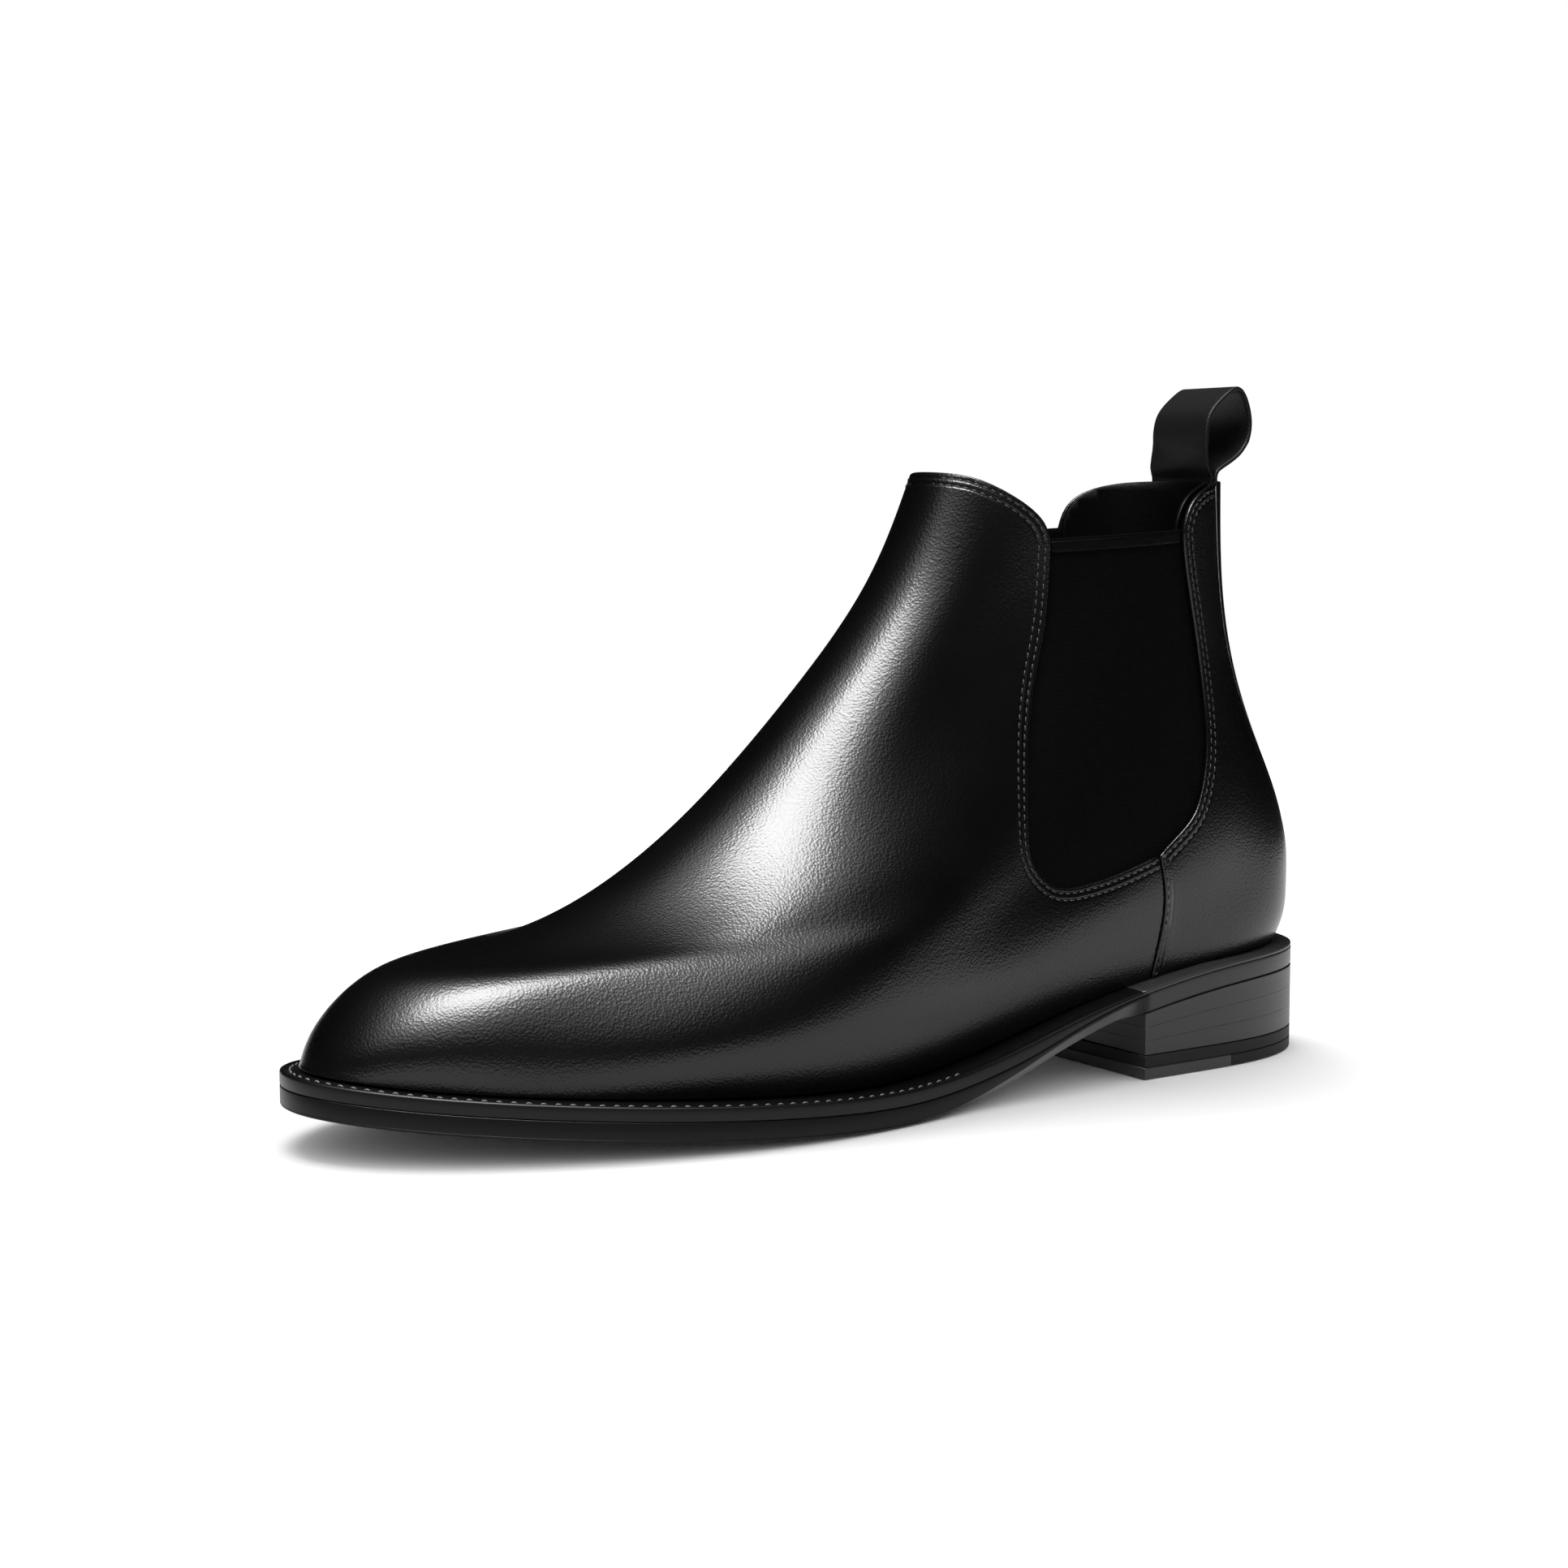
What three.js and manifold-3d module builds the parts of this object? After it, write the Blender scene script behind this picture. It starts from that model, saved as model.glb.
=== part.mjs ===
// Chelsea boot, left foot. Millimetres, +Z up, toe towards -Y, outer (lateral) side towards +X.
// Everything is drawn on the last (the foot form) and then set down with its box centred on the floor.
import * as THREE from "three";
import { mergeVertices } from "three/addons/utils/BufferGeometryUtils.js";
import Module from "manifold-3d";

const wasm = await Module();
wasm.setup();

// ---- Driving dimensions ----
const SOLE_LENGTH = 307; // heel to toe, over the sole edge
const BALL_WIDTH = 107; // widest point of the sole
const BACK_HEIGHT = 161.5; // floor to the collar at the back seam
const HEEL_RISE = 21; // how much higher the heel seat lies than the ball
const HEEL_LENGTH = 76; // back of the heel to its breast
const LEATHER = 1.3; // outer leather
const ELASTIC = 1.0; // gores and stiffeners, between leather and lining
const LINING = 1.1;
const FIT = 0.3; // clearance between touching pieces
const WELT = 3.5; // thickness of the welt round the forepart
const WELT_AT_WAIST = 1.0; // what it is skived down to at the heel breast
const WELT_DEPTH = 8; // how far the welt reaches in under the upper
const SKIVE = 50; // length over which the welt thins towards the heel
const OUTSOLE = 5.2;
const INSOLE = 2.5;
const INSOLE_PLAY = 2; // from the lining to the insole's edge
const SOCK = 1.0;
const SOCK_PLAY = 3; // from the lining to the sock liner's edge
const RIB_START = 56; // from the heel breast to the insole rib
const RIB = 3; // width of the insole rib that the welt is sewn to
const TOP_LIFT = 6.5; // both layers of the walking surface of the heel
const SHANK_WIDTH = 14;
const SHANK_PLAY = 3; // from the shank's ends to the heel seat and the rib
const SHANK = 0.85; // its thickness
const LIFTS = 3; // stacked leather lifts between outsole and top lift
const PIN_RADIUS = 1;
const PINS = 5;
const PIN_SPACING = 12;
const INSERT_SHARE = 0.43; // share of the heel's length that the leather insert takes, from the breast
const LAP = 8; // how far a gore reaches under the leather
const BINDING = 3; // height of the gore's top binding
const STRIP = 0.9; // thickness of the back strip
const STRIP_TOP = 23; // half width of the back strip at the collar
const STRIP_FOOT = 11; // and at its lower end
const STRIP_CLEAR = 4; // from the feather line up to the strip
const LOOP_WIDTH = 26;
const LOOP_WEB = 1.2; // thickness of the pull loop's webbing
const LOOP_HEIGHT = 25;
const LOOP_TAIL = 18; // how far its tails reach down inside
const PIVOT_CLEAR = 2; // the pull loop's bending line above the collar

// ---- Pattern, drawn for a sole of 307 x 107 and a back height of 161.5 ----
const LONG = SOLE_LENGTH / 307;
const BROAD = BALL_WIDTH / 107;
const DRAWN_HEIGHT = 161.5;
const FOOT_DEPTH = 50; // up to here the shape follows the foot, above it the back height
const TALL = (BACK_HEIGHT - FOOT_DEPTH) / (DRAWN_HEIGHT - FOOT_DEPTH);
const STACK = OUTSOLE + WELT + 2 * FIT; // floor to feather line at the ball
const FAR = 400; // past the end of everything

// Side view, as [forward from the heel's back, height]: front ridge and back curve, feather to collar.
const RIDGE = [
  [302.5, 20], [296.5, 30], [281, 42], [256, 45], [225, 54], [193, 74.5], [162.5, 103.5], [137.7, 133.5],
  [123.5, 164.1],
];
const BACK = [
  [5, 30], [2, 38.5], [2, 48.5], [3, 60.5], [7.5, 74.5], [15, 91.5], [22, 111], [27, 134.5], [29, 161.5],
];
// Feather line, as [forward, height above the ball] for a heel rise of 21.
const FEATHER = [
  [0, 21], [40, 20.3], [70, 16.5], [100, 10.6], [125, 4.6], [145, 1.2], [165, 0], [190, 0.9], [220, 2.8], [250, 5],
  [285, 8.2], [307, 10.8],
];
// Half widths at nine stations from back to front, for six levels from feather to collar.
const STATIONS = [0.03, 0.08, 0.16, 0.3, 0.45, 0.6, 0.75, 0.88, 0.97];
const LEVELS = [0, 0.125, 0.25, 0.5, 0.75, 1];
const LATERAL = [
  [18.5, 26.5, 30, 32.5, 38, 47, 45, 33.5, 17.5],
  [19.5, 27, 30.5, 34.5, 42, 50.5, 47, 34.5, 20],
  [20, 27, 31, 35, 40, 48, 41.5, 31.5, 18],
  [18, 25, 30.5, 31.5, 33, 38.5, 37.5, 28.5, 14.5],
  [13, 20, 25.5, 29, 29, 25.5, 22.5, 19.5, 11],
  [12, 19, 24.5, 29, 30.5, 29.5, 24.5, 18, 10.5],
];
const MEDIAL = [
  [18.5, 26, 29, 28, 27.5, 35, 41, 32.5, 18],
  [19.5, 26.5, 29.5, 28, 28, 35, 41.5, 35.5, 20.5],
  [20, 27, 30.5, 29, 29, 34.5, 39.5, 31.5, 16],
  [18, 25, 30.5, 33, 33, 34.5, 32, 23.5, 15],
  [13, 20, 25.5, 30.5, 33, 33.5, 30.5, 24.5, 12.5],
  [12, 19, 24.5, 29, 30.5, 30, 26.5, 19, 9],
];
// How far the sole edge stands out from the feather line: back, heel, ball, toe.
const REACH_STATIONS = [0, 0.3, 0.6, 1];
const REACH_LATERAL = [5, 8, 9.5, 4.5];
const REACH_MEDIAL = [5, 6, 8.5, 4.5];

// Side-view cutting lines of the panels, [forward, height].
const GORE_FRONT = [
  [98.5, 145], [99.8, 125.5], [103.8, 110], [108.6, 91], [111.5, 72.5], [111.3, 61.7], [106.6, 56],
  [99.5, 53.6], [84, 55.5], [67.5, 60],
];
const GORE_BACK = [
  [67.5, 60], [56.6, 67.9], [51.7, 74.6], [47.9, 86.2], [47.2, 101.7], [50, 119.6], [54.6, 137],
  [56.4, 147.5],
];
const SEAM = [[67.5, 60], [65.8, 49.7], [65.8, 40.7], [67.8, 28.3], [69.5, 12]];
const COLLAR_FRONT = [[98.5, 145], [101, 151], [108.2, 157.2], [117, 162], [124, 163.7]];
const COLLAR_BACK = [[56.4, 147.5], [54.5, 153], [49.2, 157.9], [39.2, 160.7], [29, 161.4]];
const COUNTER = [[-20, 5], [61, 5], [60, 42], [44, 56], [25, 63], [-20, 66]];
const TOE_PUFF_FROM = 240;
const TAPE = [[111, 151], [111, 180], [FAR, 180], [FAR, 151]];

// ---- Curves ----
function naturalSpline(xs, ys) {
  const n = xs.length;
  const h = xs.slice(1).map((x, i) => x - xs[i]);
  const bend = new Array(n).fill(0);
  const upper = new Array(n).fill(0);
  for (let i = 1; i < n - 1; i++) {
    const slope = (ys[i + 1] - ys[i]) / h[i] - (ys[i] - ys[i - 1]) / h[i - 1];
    const pivot = 2 * (h[i - 1] + h[i]) - h[i - 1] * upper[i - 1];
    upper[i] = h[i] / pivot;
    bend[i] = (6 * slope - h[i - 1] * bend[i - 1]) / pivot;
  }
  for (let i = n - 2; i > 0; i--) bend[i] -= upper[i] * bend[i + 1];
  return (x) => {
    let i = 0;
    while (i < n - 2 && x > xs[i + 1]) i++;
    const a = x - xs[i];
    const b = xs[i + 1] - x;
    const cubic = (bend[i] * b ** 3 + bend[i + 1] * a ** 3) / (6 * h[i]);
    return cubic + (ys[i] / h[i] - (bend[i] * h[i]) / 6) * b + (ys[i + 1] / h[i] - (bend[i + 1] * h[i]) / 6) * a;
  };
}

function stretched(z) {
  return z < FOOT_DEPTH ? z : FOOT_DEPTH + (z - FOOT_DEPTH) * TALL;
}

function sideCurve(points, across = (i) => i / (points.length - 1)) {
  const at = points.map((_, i) => across(i));
  const forward = naturalSpline(at, points.map((p) => p[0] * LONG));
  const height = naturalSpline(at, points.map((p) => stretched(p[1])));
  return (s) => [forward(s), height(s)];
}

function smooth(points, steps) {
  const curve = sideCurve(points);
  return Array.from({ length: steps + 1 }, (_, i) => curve(i / steps));
}

const ridge = sideCurve(RIDGE);
const back = sideCurve(BACK);
const featherRise = naturalSpline(FEATHER.map((p) => p[0] * LONG), FEATHER.map((p) => (p[1] * HEEL_RISE) / 21));
const feather = (forward) => STACK + featherRise(forward);

// Width curves: each level's half widths are divided by the half circle's, so the ends round off.
function widthField(table) {
  const rows = table.map((row) => {
    const swell = row.map((w, i) => (w * BROAD) / (2 * Math.sqrt(STATIONS[i] * (1 - STATIONS[i]))));
    return naturalSpline(STATIONS, swell);
  });
  return (station, level) => naturalSpline(LEVELS, rows.map((row) => row(station)))(level);
}
const lateralWidth = widthField(LATERAL);
const medialWidth = widthField(MEDIAL);

// ---- The last's surface. Angle 0 is the back seam, PI the front ridge, 0 to PI the lateral side. ----
const SAG_END = 0.45; // level by which the bend of the feather line has died out
function lastPoint(angle, level) {
  const t = (1 - Math.cos(angle)) / 2;
  const [rf, rz] = ridge(level);
  const [bf, bz] = back(level);
  const [rf0, rz0] = ridge(0);
  const [bf0, bz0] = back(0);
  const forward = bf + (rf - bf) * t;
  const sag = feather(bf0 + (rf0 - bf0) * t) - (bz0 + (rz0 - bz0) * t);
  const fade = level < SAG_END ? (1 - level / SAG_END) ** 2 : 0;
  const side = Math.sin(angle);
  const width = side * (side >= 0 ? lateralWidth(t, level) : medialWidth(t, level));
  return new THREE.Vector3(width, -forward, bz + (rz - bz) * t + sag * fade);
}

function lastNormal(angle, level) {
  const step = 0.002;
  const along = lastPoint(angle + step, level).sub(lastPoint(angle - step, level));
  const up = lastPoint(angle, Math.min(level + step, 1)).sub(lastPoint(angle, Math.max(level - step, 0)));
  const normal = up.cross(along).normalize();
  const flat = Math.max(0, 1 - level / 0.12); // layers stand upright where they meet the sole
  normal.z *= 1 - flat * flat;
  return normal.normalize();
}

function layerPoint(angle, level, depth) {
  return lastPoint(angle, level).addScaledVector(lastNormal(angle, level), -depth);
}

// ---- Solids ----
function solid(geometry) {
  geometry.deleteAttribute("normal");
  geometry.deleteAttribute("uv");
  const merged = mergeVertices(geometry, 1e-4);
  const mesh = new wasm.Mesh({
    numProp: 3,
    vertProperties: merged.attributes.position.array,
    triVerts: new Uint32Array(merged.index.array),
  });
  return new wasm.Manifold(mesh);
}

function geometryOf(manifold) {
  const mesh = manifold.getMesh();
  const geometry = new THREE.BufferGeometry();
  geometry.setAttribute("position", new THREE.BufferAttribute(new Float32Array(mesh.vertProperties), 3));
  geometry.setIndex(new THREE.BufferAttribute(new Uint32Array(mesh.triVerts), 1));
  geometry.computeVertexNormals();
  return geometry;
}

// A closed skin of the last between two depths, from feather line to collar.
const ROUND = 40;
const RISE = 12;
function skin(from, to) {
  const positions = [];
  for (const depth of [from, to]) {
    for (let j = 0; j <= RISE; j++) {
      for (let i = 0; i < ROUND; i++) {
        positions.push(...layerPoint((i / ROUND) * 2 * Math.PI, j / RISE, depth).toArray());
      }
    }
  }
  const inner = ROUND * (RISE + 1);
  const index = [];
  const quad = (a, b, c, d) => index.push(a, b, c, a, c, d);
  for (let i = 0; i < ROUND; i++) {
    const next = (i + 1) % ROUND;
    for (let j = 0; j < RISE; j++) {
      const low = j * ROUND;
      const high = low + ROUND;
      quad(low + i, high + i, high + next, low + next);
      quad(inner + low + i, inner + low + next, inner + high + next, inner + high + i);
    }
    const top = RISE * ROUND;
    quad(i, next, inner + next, inner + i);
    quad(top + i, inner + top + i, inner + top + next, top + next);
  }
  const geometry = new THREE.BufferGeometry();
  geometry.setAttribute("position", new THREE.Float32BufferAttribute(positions, 3));
  geometry.setIndex(index);
  return solid(geometry);
}

function extrude(points, depth, basis) {
  const shape = new THREE.Shape(points.map(([x, y]) => new THREE.Vector2(x, y)));
  const geometry = new THREE.ExtrudeGeometry(shape, { depth, bevelEnabled: false });
  return geometry.applyMatrix4(basis);
}

// Outline in side view, [forward, height], drawn out across the boot.
function acrossGeometry(points, from, to) {
  const basis = new THREE.Matrix4().set(0, 0, -1, to, -1, 0, 0, 0, 0, 1, 0, 0, 0, 0, 0, 1);
  return extrude(points, to - from, basis);
}
const across = (points, from = -FAR, to = FAR) => solid(acrossGeometry(points, from, to));

// Outline in plan, [lateral, forward], drawn up.
function plan(points, from, to) {
  const basis = new THREE.Matrix4().makeTranslation(0, 0, from);
  return solid(extrude(points.map(([l, f]) => [l, -f]), to - from, basis));
}

// Outline in rear view, [lateral, height], drawn forward.
function lengthwise(points, from, to) {
  const basis = new THREE.Matrix4().set(1, 0, 0, 0, 0, 0, -1, -from, 0, 1, 0, 0, 0, 0, 0, 1);
  return solid(extrude(points, to - from, basis));
}

const lateralHalf = (points) => across(points, FIT / 2, FAR);
const medialHalf = (points) => across(points, -FAR, -FIT / 2);

// ---- Outlines of the sole pieces ----
const reachLateral = naturalSpline(REACH_STATIONS, REACH_LATERAL);
const reachMedial = naturalSpline(REACH_STATIONS, REACH_MEDIAL);
const EDGE_STEPS = 56;
function soleOutline(grow) {
  return Array.from({ length: EDGE_STEPS }, (_, i) => {
    const angle = (i / EDGE_STEPS) * 2 * Math.PI;
    const normal = lastNormal(angle, 0);
    const t = (1 - Math.cos(angle)) / 2;
    const lean = (1 + Math.sin(angle)) / 2; // blends the two sides' reach across toe and heel
    const reach = reachLateral(t) * lean + reachMedial(t) * (1 - lean);
    const point = lastPoint(angle, 0).addScaledVector(normal, grow === "edge" ? reach : -grow);
    return [point.x, -point.y];
  });
}
const footprint = (grow) => plan(soleOutline(grow), -FAR / 4, FAR / 4);

function weltThickness(forward) {
  const s = THREE.MathUtils.smoothstep(forward, HEEL_LENGTH, HEEL_LENGTH + SKIVE);
  return WELT_AT_WAIST + (WELT - WELT_AT_WAIST) * s;
}
const weltTop = (f) => feather(f) - FIT;
const weltBottom = (f) => weltTop(f) - weltThickness(f);
const outsoleTop = (f) => weltBottom(f) - FIT;
const outsoleBottom = (f) => outsoleTop(f) - OUTSOLE;

// A bent plate between two height curves, from one forward place to another.
const PAST_HEEL = -20;
const LAYER_STEP = 14;
function layer(bottom, top, from = PAST_HEEL, to = SOLE_LENGTH - PAST_HEEL) {
  const steps = Math.max(2, Math.round((to - from) / LAYER_STEP));
  const places = Array.from({ length: steps + 1 }, (_, i) => from + ((to - from) * i) / steps);
  return across([...places.map((f) => [f, bottom(f)]), ...places.reverse().map((f) => [f, top(f)])]);
}

// ---- Materials ----
function material(color, roughness, metalness = 0) {
  return new THREE.MeshStandardMaterial({ color, roughness, metalness });
}
const polishedCalf = material(0x17181a, 0.3);
const calfLining = material(0x1d1c1c, 0.7);
const wovenElastic = material(0x101112, 0.9);
const loopWebbing = material(0x141415, 0.85);
const stiffener = material(0x8a6f52, 0.9);
const insoleLeather = material(0xa98258, 0.8);
const cork = material(0x9c7448, 0.95);
const springSteel = material(0x8c9096, 0.35, 1);
const edgeLeather = material(0x1b1c1e, 0.35);
const soleLeather = material(0x232322, 0.5);
const heelRubber = material(0x121313, 0.75);
const brass = material(0xb08d4a, 0.35, 1);

const last = new THREE.Group(); // pieces as drawn on the last
function add(name, shape, look) {
  const mesh = new THREE.Mesh(shape instanceof THREE.BufferGeometry ? shape : geometryOf(shape), look);
  mesh.name = name;
  last.add(mesh);
}

// ---- Upper ----
const CURVE_STEPS = 14;
const SHORT_STEPS = 6;
const goreFront = smooth(GORE_FRONT, CURVE_STEPS);
const goreBack = smooth(GORE_BACK, CURVE_STEPS);
const seam = smooth(SEAM, SHORT_STEPS);
const collarFront = smooth(COLLAR_FRONT, SHORT_STEPS);
const collarBack = smooth(COLLAR_BACK, SHORT_STEPS);
const shift = (points, by) => points.map(([f, z]) => [f + by, z]);
const vampOutline = [
  ...collarFront, [FAR, collarFront.at(-1)[1]], [FAR, -FAR], [seam.at(-1)[0], -FAR],
  ...[...seam].reverse(), ...[...goreFront].reverse().slice(1, -1),
];
const quarterOutline = [
  ...collarBack, [-FAR, collarBack.at(-1)[1]], [-FAR, -FAR], [seam.at(-1)[0] - FIT, -FAR],
  ...shift([...seam].reverse(), -FIT), ...goreBack.slice(1, -1),
];

// Moves an open line sideways, away from the inside of the gore.
function lapLine(points, by) {
  return points.map(([f, z], i) => {
    const a = points[Math.max(i - 1, 0)];
    const b = points[Math.min(i + 1, points.length - 1)];
    const length = Math.hypot(b[0] - a[0], b[1] - a[1]);
    return [f - ((b[1] - a[1]) / length) * by, z + ((b[0] - a[0]) / length) * by];
  });
}

const elasticFrom = LEATHER + FIT;
const liningFrom = elasticFrom + ELASTIC + FIT;
const liningTo = liningFrom + LINING;
const goreLine = [...goreFront, ...goreBack.slice(1)];
const goreWithLaps = lapLine(goreLine, LAP);
const halves = { lateral: lateralHalf, medial: medialHalf };

function addUpper() {
  const outer = skin(0, LEATHER);
  const lining = skin(liningFrom, liningTo);
  const vampCut = across(vampOutline);
  add("vamp", outer.intersect(vampCut), polishedCalf);
  add("vamp_lining", lining.intersect(vampCut), calfLining);
  add("quarter_lining", lining.intersect(across(quarterOutline)), calfLining);
  for (const [side, half] of Object.entries(halves)) {
    add(`quarter_${side}`, outer.intersect(half(quarterOutline)), polishedCalf);
  }
}

function addStrip() {
  const top = collarBack.at(-1)[1];
  const foot = feather(0) + STRIP_CLEAR;
  const outline = [[-STRIP_FOOT, foot], [STRIP_FOOT, foot], [STRIP_TOP, top], [-STRIP_TOP, top]];
  const cover = skin(-FIT - STRIP, -FIT);
  add("back_strip", cover.intersect(lengthwise(outline, PAST_HEEL, SOLE_LENGTH / 4)), polishedCalf);
}

function addGores() {
  const between = skin(elasticFrom, elasticFrom + ELASTIC);
  const flush = skin(FIT, LEATHER);
  const [frontTop, backTop] = [goreFront[0], goreBack.at(-1)];
  const bindingOutline = [
    [frontTop[0] - FIT, frontTop[1]], [frontTop[0] - FIT, frontTop[1] - BINDING],
    [backTop[0] + FIT, backTop[1] - BINDING], [backTop[0] + FIT, backTop[1]],
  ];
  for (const [side, half] of Object.entries(halves)) {
    add(`gore_${side}`, between.intersect(half(goreWithLaps)), wovenElastic);
    add(`gore_binding_${side}`, flush.intersect(half(bindingOutline)), wovenElastic);
  }
}

function addStiffeners() {
  const between = skin(elasticFrom, elasticFrom + ELASTIC);
  const counterOutline = COUNTER.map(([f, z]) => [f * LONG, stretched(z)]);
  const puff = [[TOE_PUFF_FROM * LONG, -FAR], [FAR, -FAR], [FAR, FAR], [TOE_PUFF_FROM * LONG, FAR]];
  const tape = TAPE.map(([f, z]) => [f * LONG, stretched(z)]);
  const below = across([[-FAR, -FAR], [FAR, -FAR], [FAR, collarFront.at(-1)[1]], [-FAR, collarFront.at(-1)[1]]]);
  add("heel_counter", between.intersect(across(counterOutline)), stiffener);
  add("toe_puff", between.intersect(across(puff)), stiffener);
  add("topline_tape", between.intersect(across(tape)).intersect(below), stiffener);
}

// ---- Pull loop: one length of webbing, its tails held between leather and lining at the back ----
const LOOP_LINE = [
  [0.75, 0], [2.1, 2.2], [2.8, 4.5], [3.6, 10], [3.3, 14.5], [1.5, 18.5], [-2.9, 22.5], [-7.3, 24.7], [-10.4, 21.8],
  [-12.1, 15.5], [-11, 9.7], [-8, 5.9], [-3.6, 3.2], [-1.3, 1.6], [-0.75, 0],
];
const LOOP_STEPS = 36;
function addPullLoop() {
  const collar = collarBack.at(-1)[1];
  const between = skin(elasticFrom, elasticFrom + ELASTIC);
  const half = LOOP_WIDTH / 2;
  const tails = [[-half, collar - LOOP_TAIL], [half, collar - LOOP_TAIL], [half, collar - FIT], [-half, collar - FIT]];
  add("pull_loop_tails", between.intersect(lengthwise(tails, 0, SOLE_LENGTH / 4)), loopWebbing);

  const foot = [-layerPoint(0, 1, elasticFrom + ELASTIC / 2).y, collar + PIVOT_CLEAR / 2];
  const curve = new THREE.SplineCurve(LOOP_LINE.map(([f, z]) => new THREE.Vector2(f, (z * LOOP_HEIGHT) / 25)));
  const line = curve.getPoints(LOOP_STEPS).map((p) => [foot[0] + p.x, foot[1] + p.y]);
  const band = [...lapLine(line, LOOP_WEB / 2), ...lapLine(line, -LOOP_WEB / 2).reverse()];
  add("pull_loop", solid(acrossGeometry(band, -half, half)), loopWebbing);
}

// ---- Bottom ----
function addBottom() {
  const edge = footprint("edge");
  const insideLining = footprint(liningTo + INSOLE_PLAY);
  const weltInside = footprint(WELT_DEPTH);
  const breast = HEEL_LENGTH;
  const forepart = breast + FIT;
  const ribFrom = breast + RIB_START * LONG;

  add("insole", insideLining.intersect(layer((f) => feather(f) + FIT, (f) => feather(f) + FIT + INSOLE)), insoleLeather);
  const sockBottom = (f) => feather(f) + INSOLE + 2 * FIT;
  const sock = footprint(liningTo + SOCK_PLAY).intersect(layer(sockBottom, (f) => sockBottom(f) + SOCK));
  add("sock_liner", sock, calfLining);

  const ring = edge.subtract(weltInside);
  add("welt", ring.intersect(layer(weltBottom, weltTop, forepart)), edgeLeather);
  add("heel_seat", edge.intersect(layer(weltBottom, weltTop, PAST_HEEL, breast)), edgeLeather);
  add("outsole", edge.intersect(layer(outsoleBottom, outsoleTop)), soleLeather);

  const rib = footprint(WELT_DEPTH + FIT).subtract(footprint(WELT_DEPTH + FIT + RIB));
  add("insole_rib", rib.intersect(layer(weltBottom, feather, ribFrom)), insoleLeather);
  const filler = footprint(WELT_DEPTH + RIB + 2 * FIT);
  add("cork_filler", filler.intersect(layer(weltBottom, feather, ribFrom + FIT)), cork);
  const [side, start, end] = [SHANK_WIDTH / 2, forepart + SHANK_PLAY, ribFrom - SHANK_PLAY];
  const shank = plan([[-side, start], [side, start], [side, end], [-side, end]], -FAR / 4, FAR / 4);
  const shankTop = (f) => feather(f) - FIT / 2;
  add("shank", shank.intersect(layer((f) => shankTop(f) - SHANK, shankTop)), springSteel);
}

function addHeel() {
  const edge = footprint("edge");
  const breast = HEEL_LENGTH;
  const lowest = TOP_LIFT + FIT;
  const share = (i) => (f) => lowest + ((outsoleBottom(f) - lowest) * i) / LIFTS;
  for (let i = 0; i < LIFTS; i++) {
    const lift = layer(share(i), (f) => share(i + 1)(f) - FIT, PAST_HEEL, breast);
    add(`heel_lift_${i + 1}`, edge.intersect(lift), edgeLeather);
  }
  const split = TOP_LIFT / 2;
  const insertFrom = breast * (1 - INSERT_SHARE);
  const slab = (bottom, top, from, to) => edge.intersect(layer(() => bottom, () => top, from, to));
  add("top_lift_base", slab(split + FIT / 2, TOP_LIFT, PAST_HEEL, breast), heelRubber);
  add("top_lift_rubber", slab(0, split - FIT / 2, PAST_HEEL, insertFrom - FIT), heelRubber);

  let insert = slab(0, split - FIT / 2, insertFrom, breast);
  for (let i = 0; i < PINS; i++) {
    const place = [(i - (PINS - 1) / 2) * PIN_SPACING * BROAD, -(insertFrom + breast) / 2, split / 2];
    const hole = new THREE.CylinderGeometry(PIN_RADIUS + FIT, PIN_RADIUS + FIT, TOP_LIFT, 12);
    insert = insert.subtract(solid(hole.rotateX(Math.PI / 2).translate(...place)));
    const pin = new THREE.CylinderGeometry(PIN_RADIUS, PIN_RADIUS, split - 2 * FIT, 12);
    add(`heel_pin_${i + 1}`, pin.rotateX(Math.PI / 2).translate(...place), brass);
  }
  add("top_lift_insert", insert, soleLeather);
}

addUpper();
addStrip();
addGores();
addStiffeners();
addPullLoop();
addBottom();
addHeel();

// Set down: the middle of the box over the origin, the heel on the floor.
const box = new THREE.Box3().setFromObject(last);
last.position.set(-(box.min.x + box.max.x) / 2, -(box.min.y + box.max.y) / 2, -box.min.z);
const boot = new THREE.Group();
boot.add(last);

export default boot;
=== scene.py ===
import math

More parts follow.
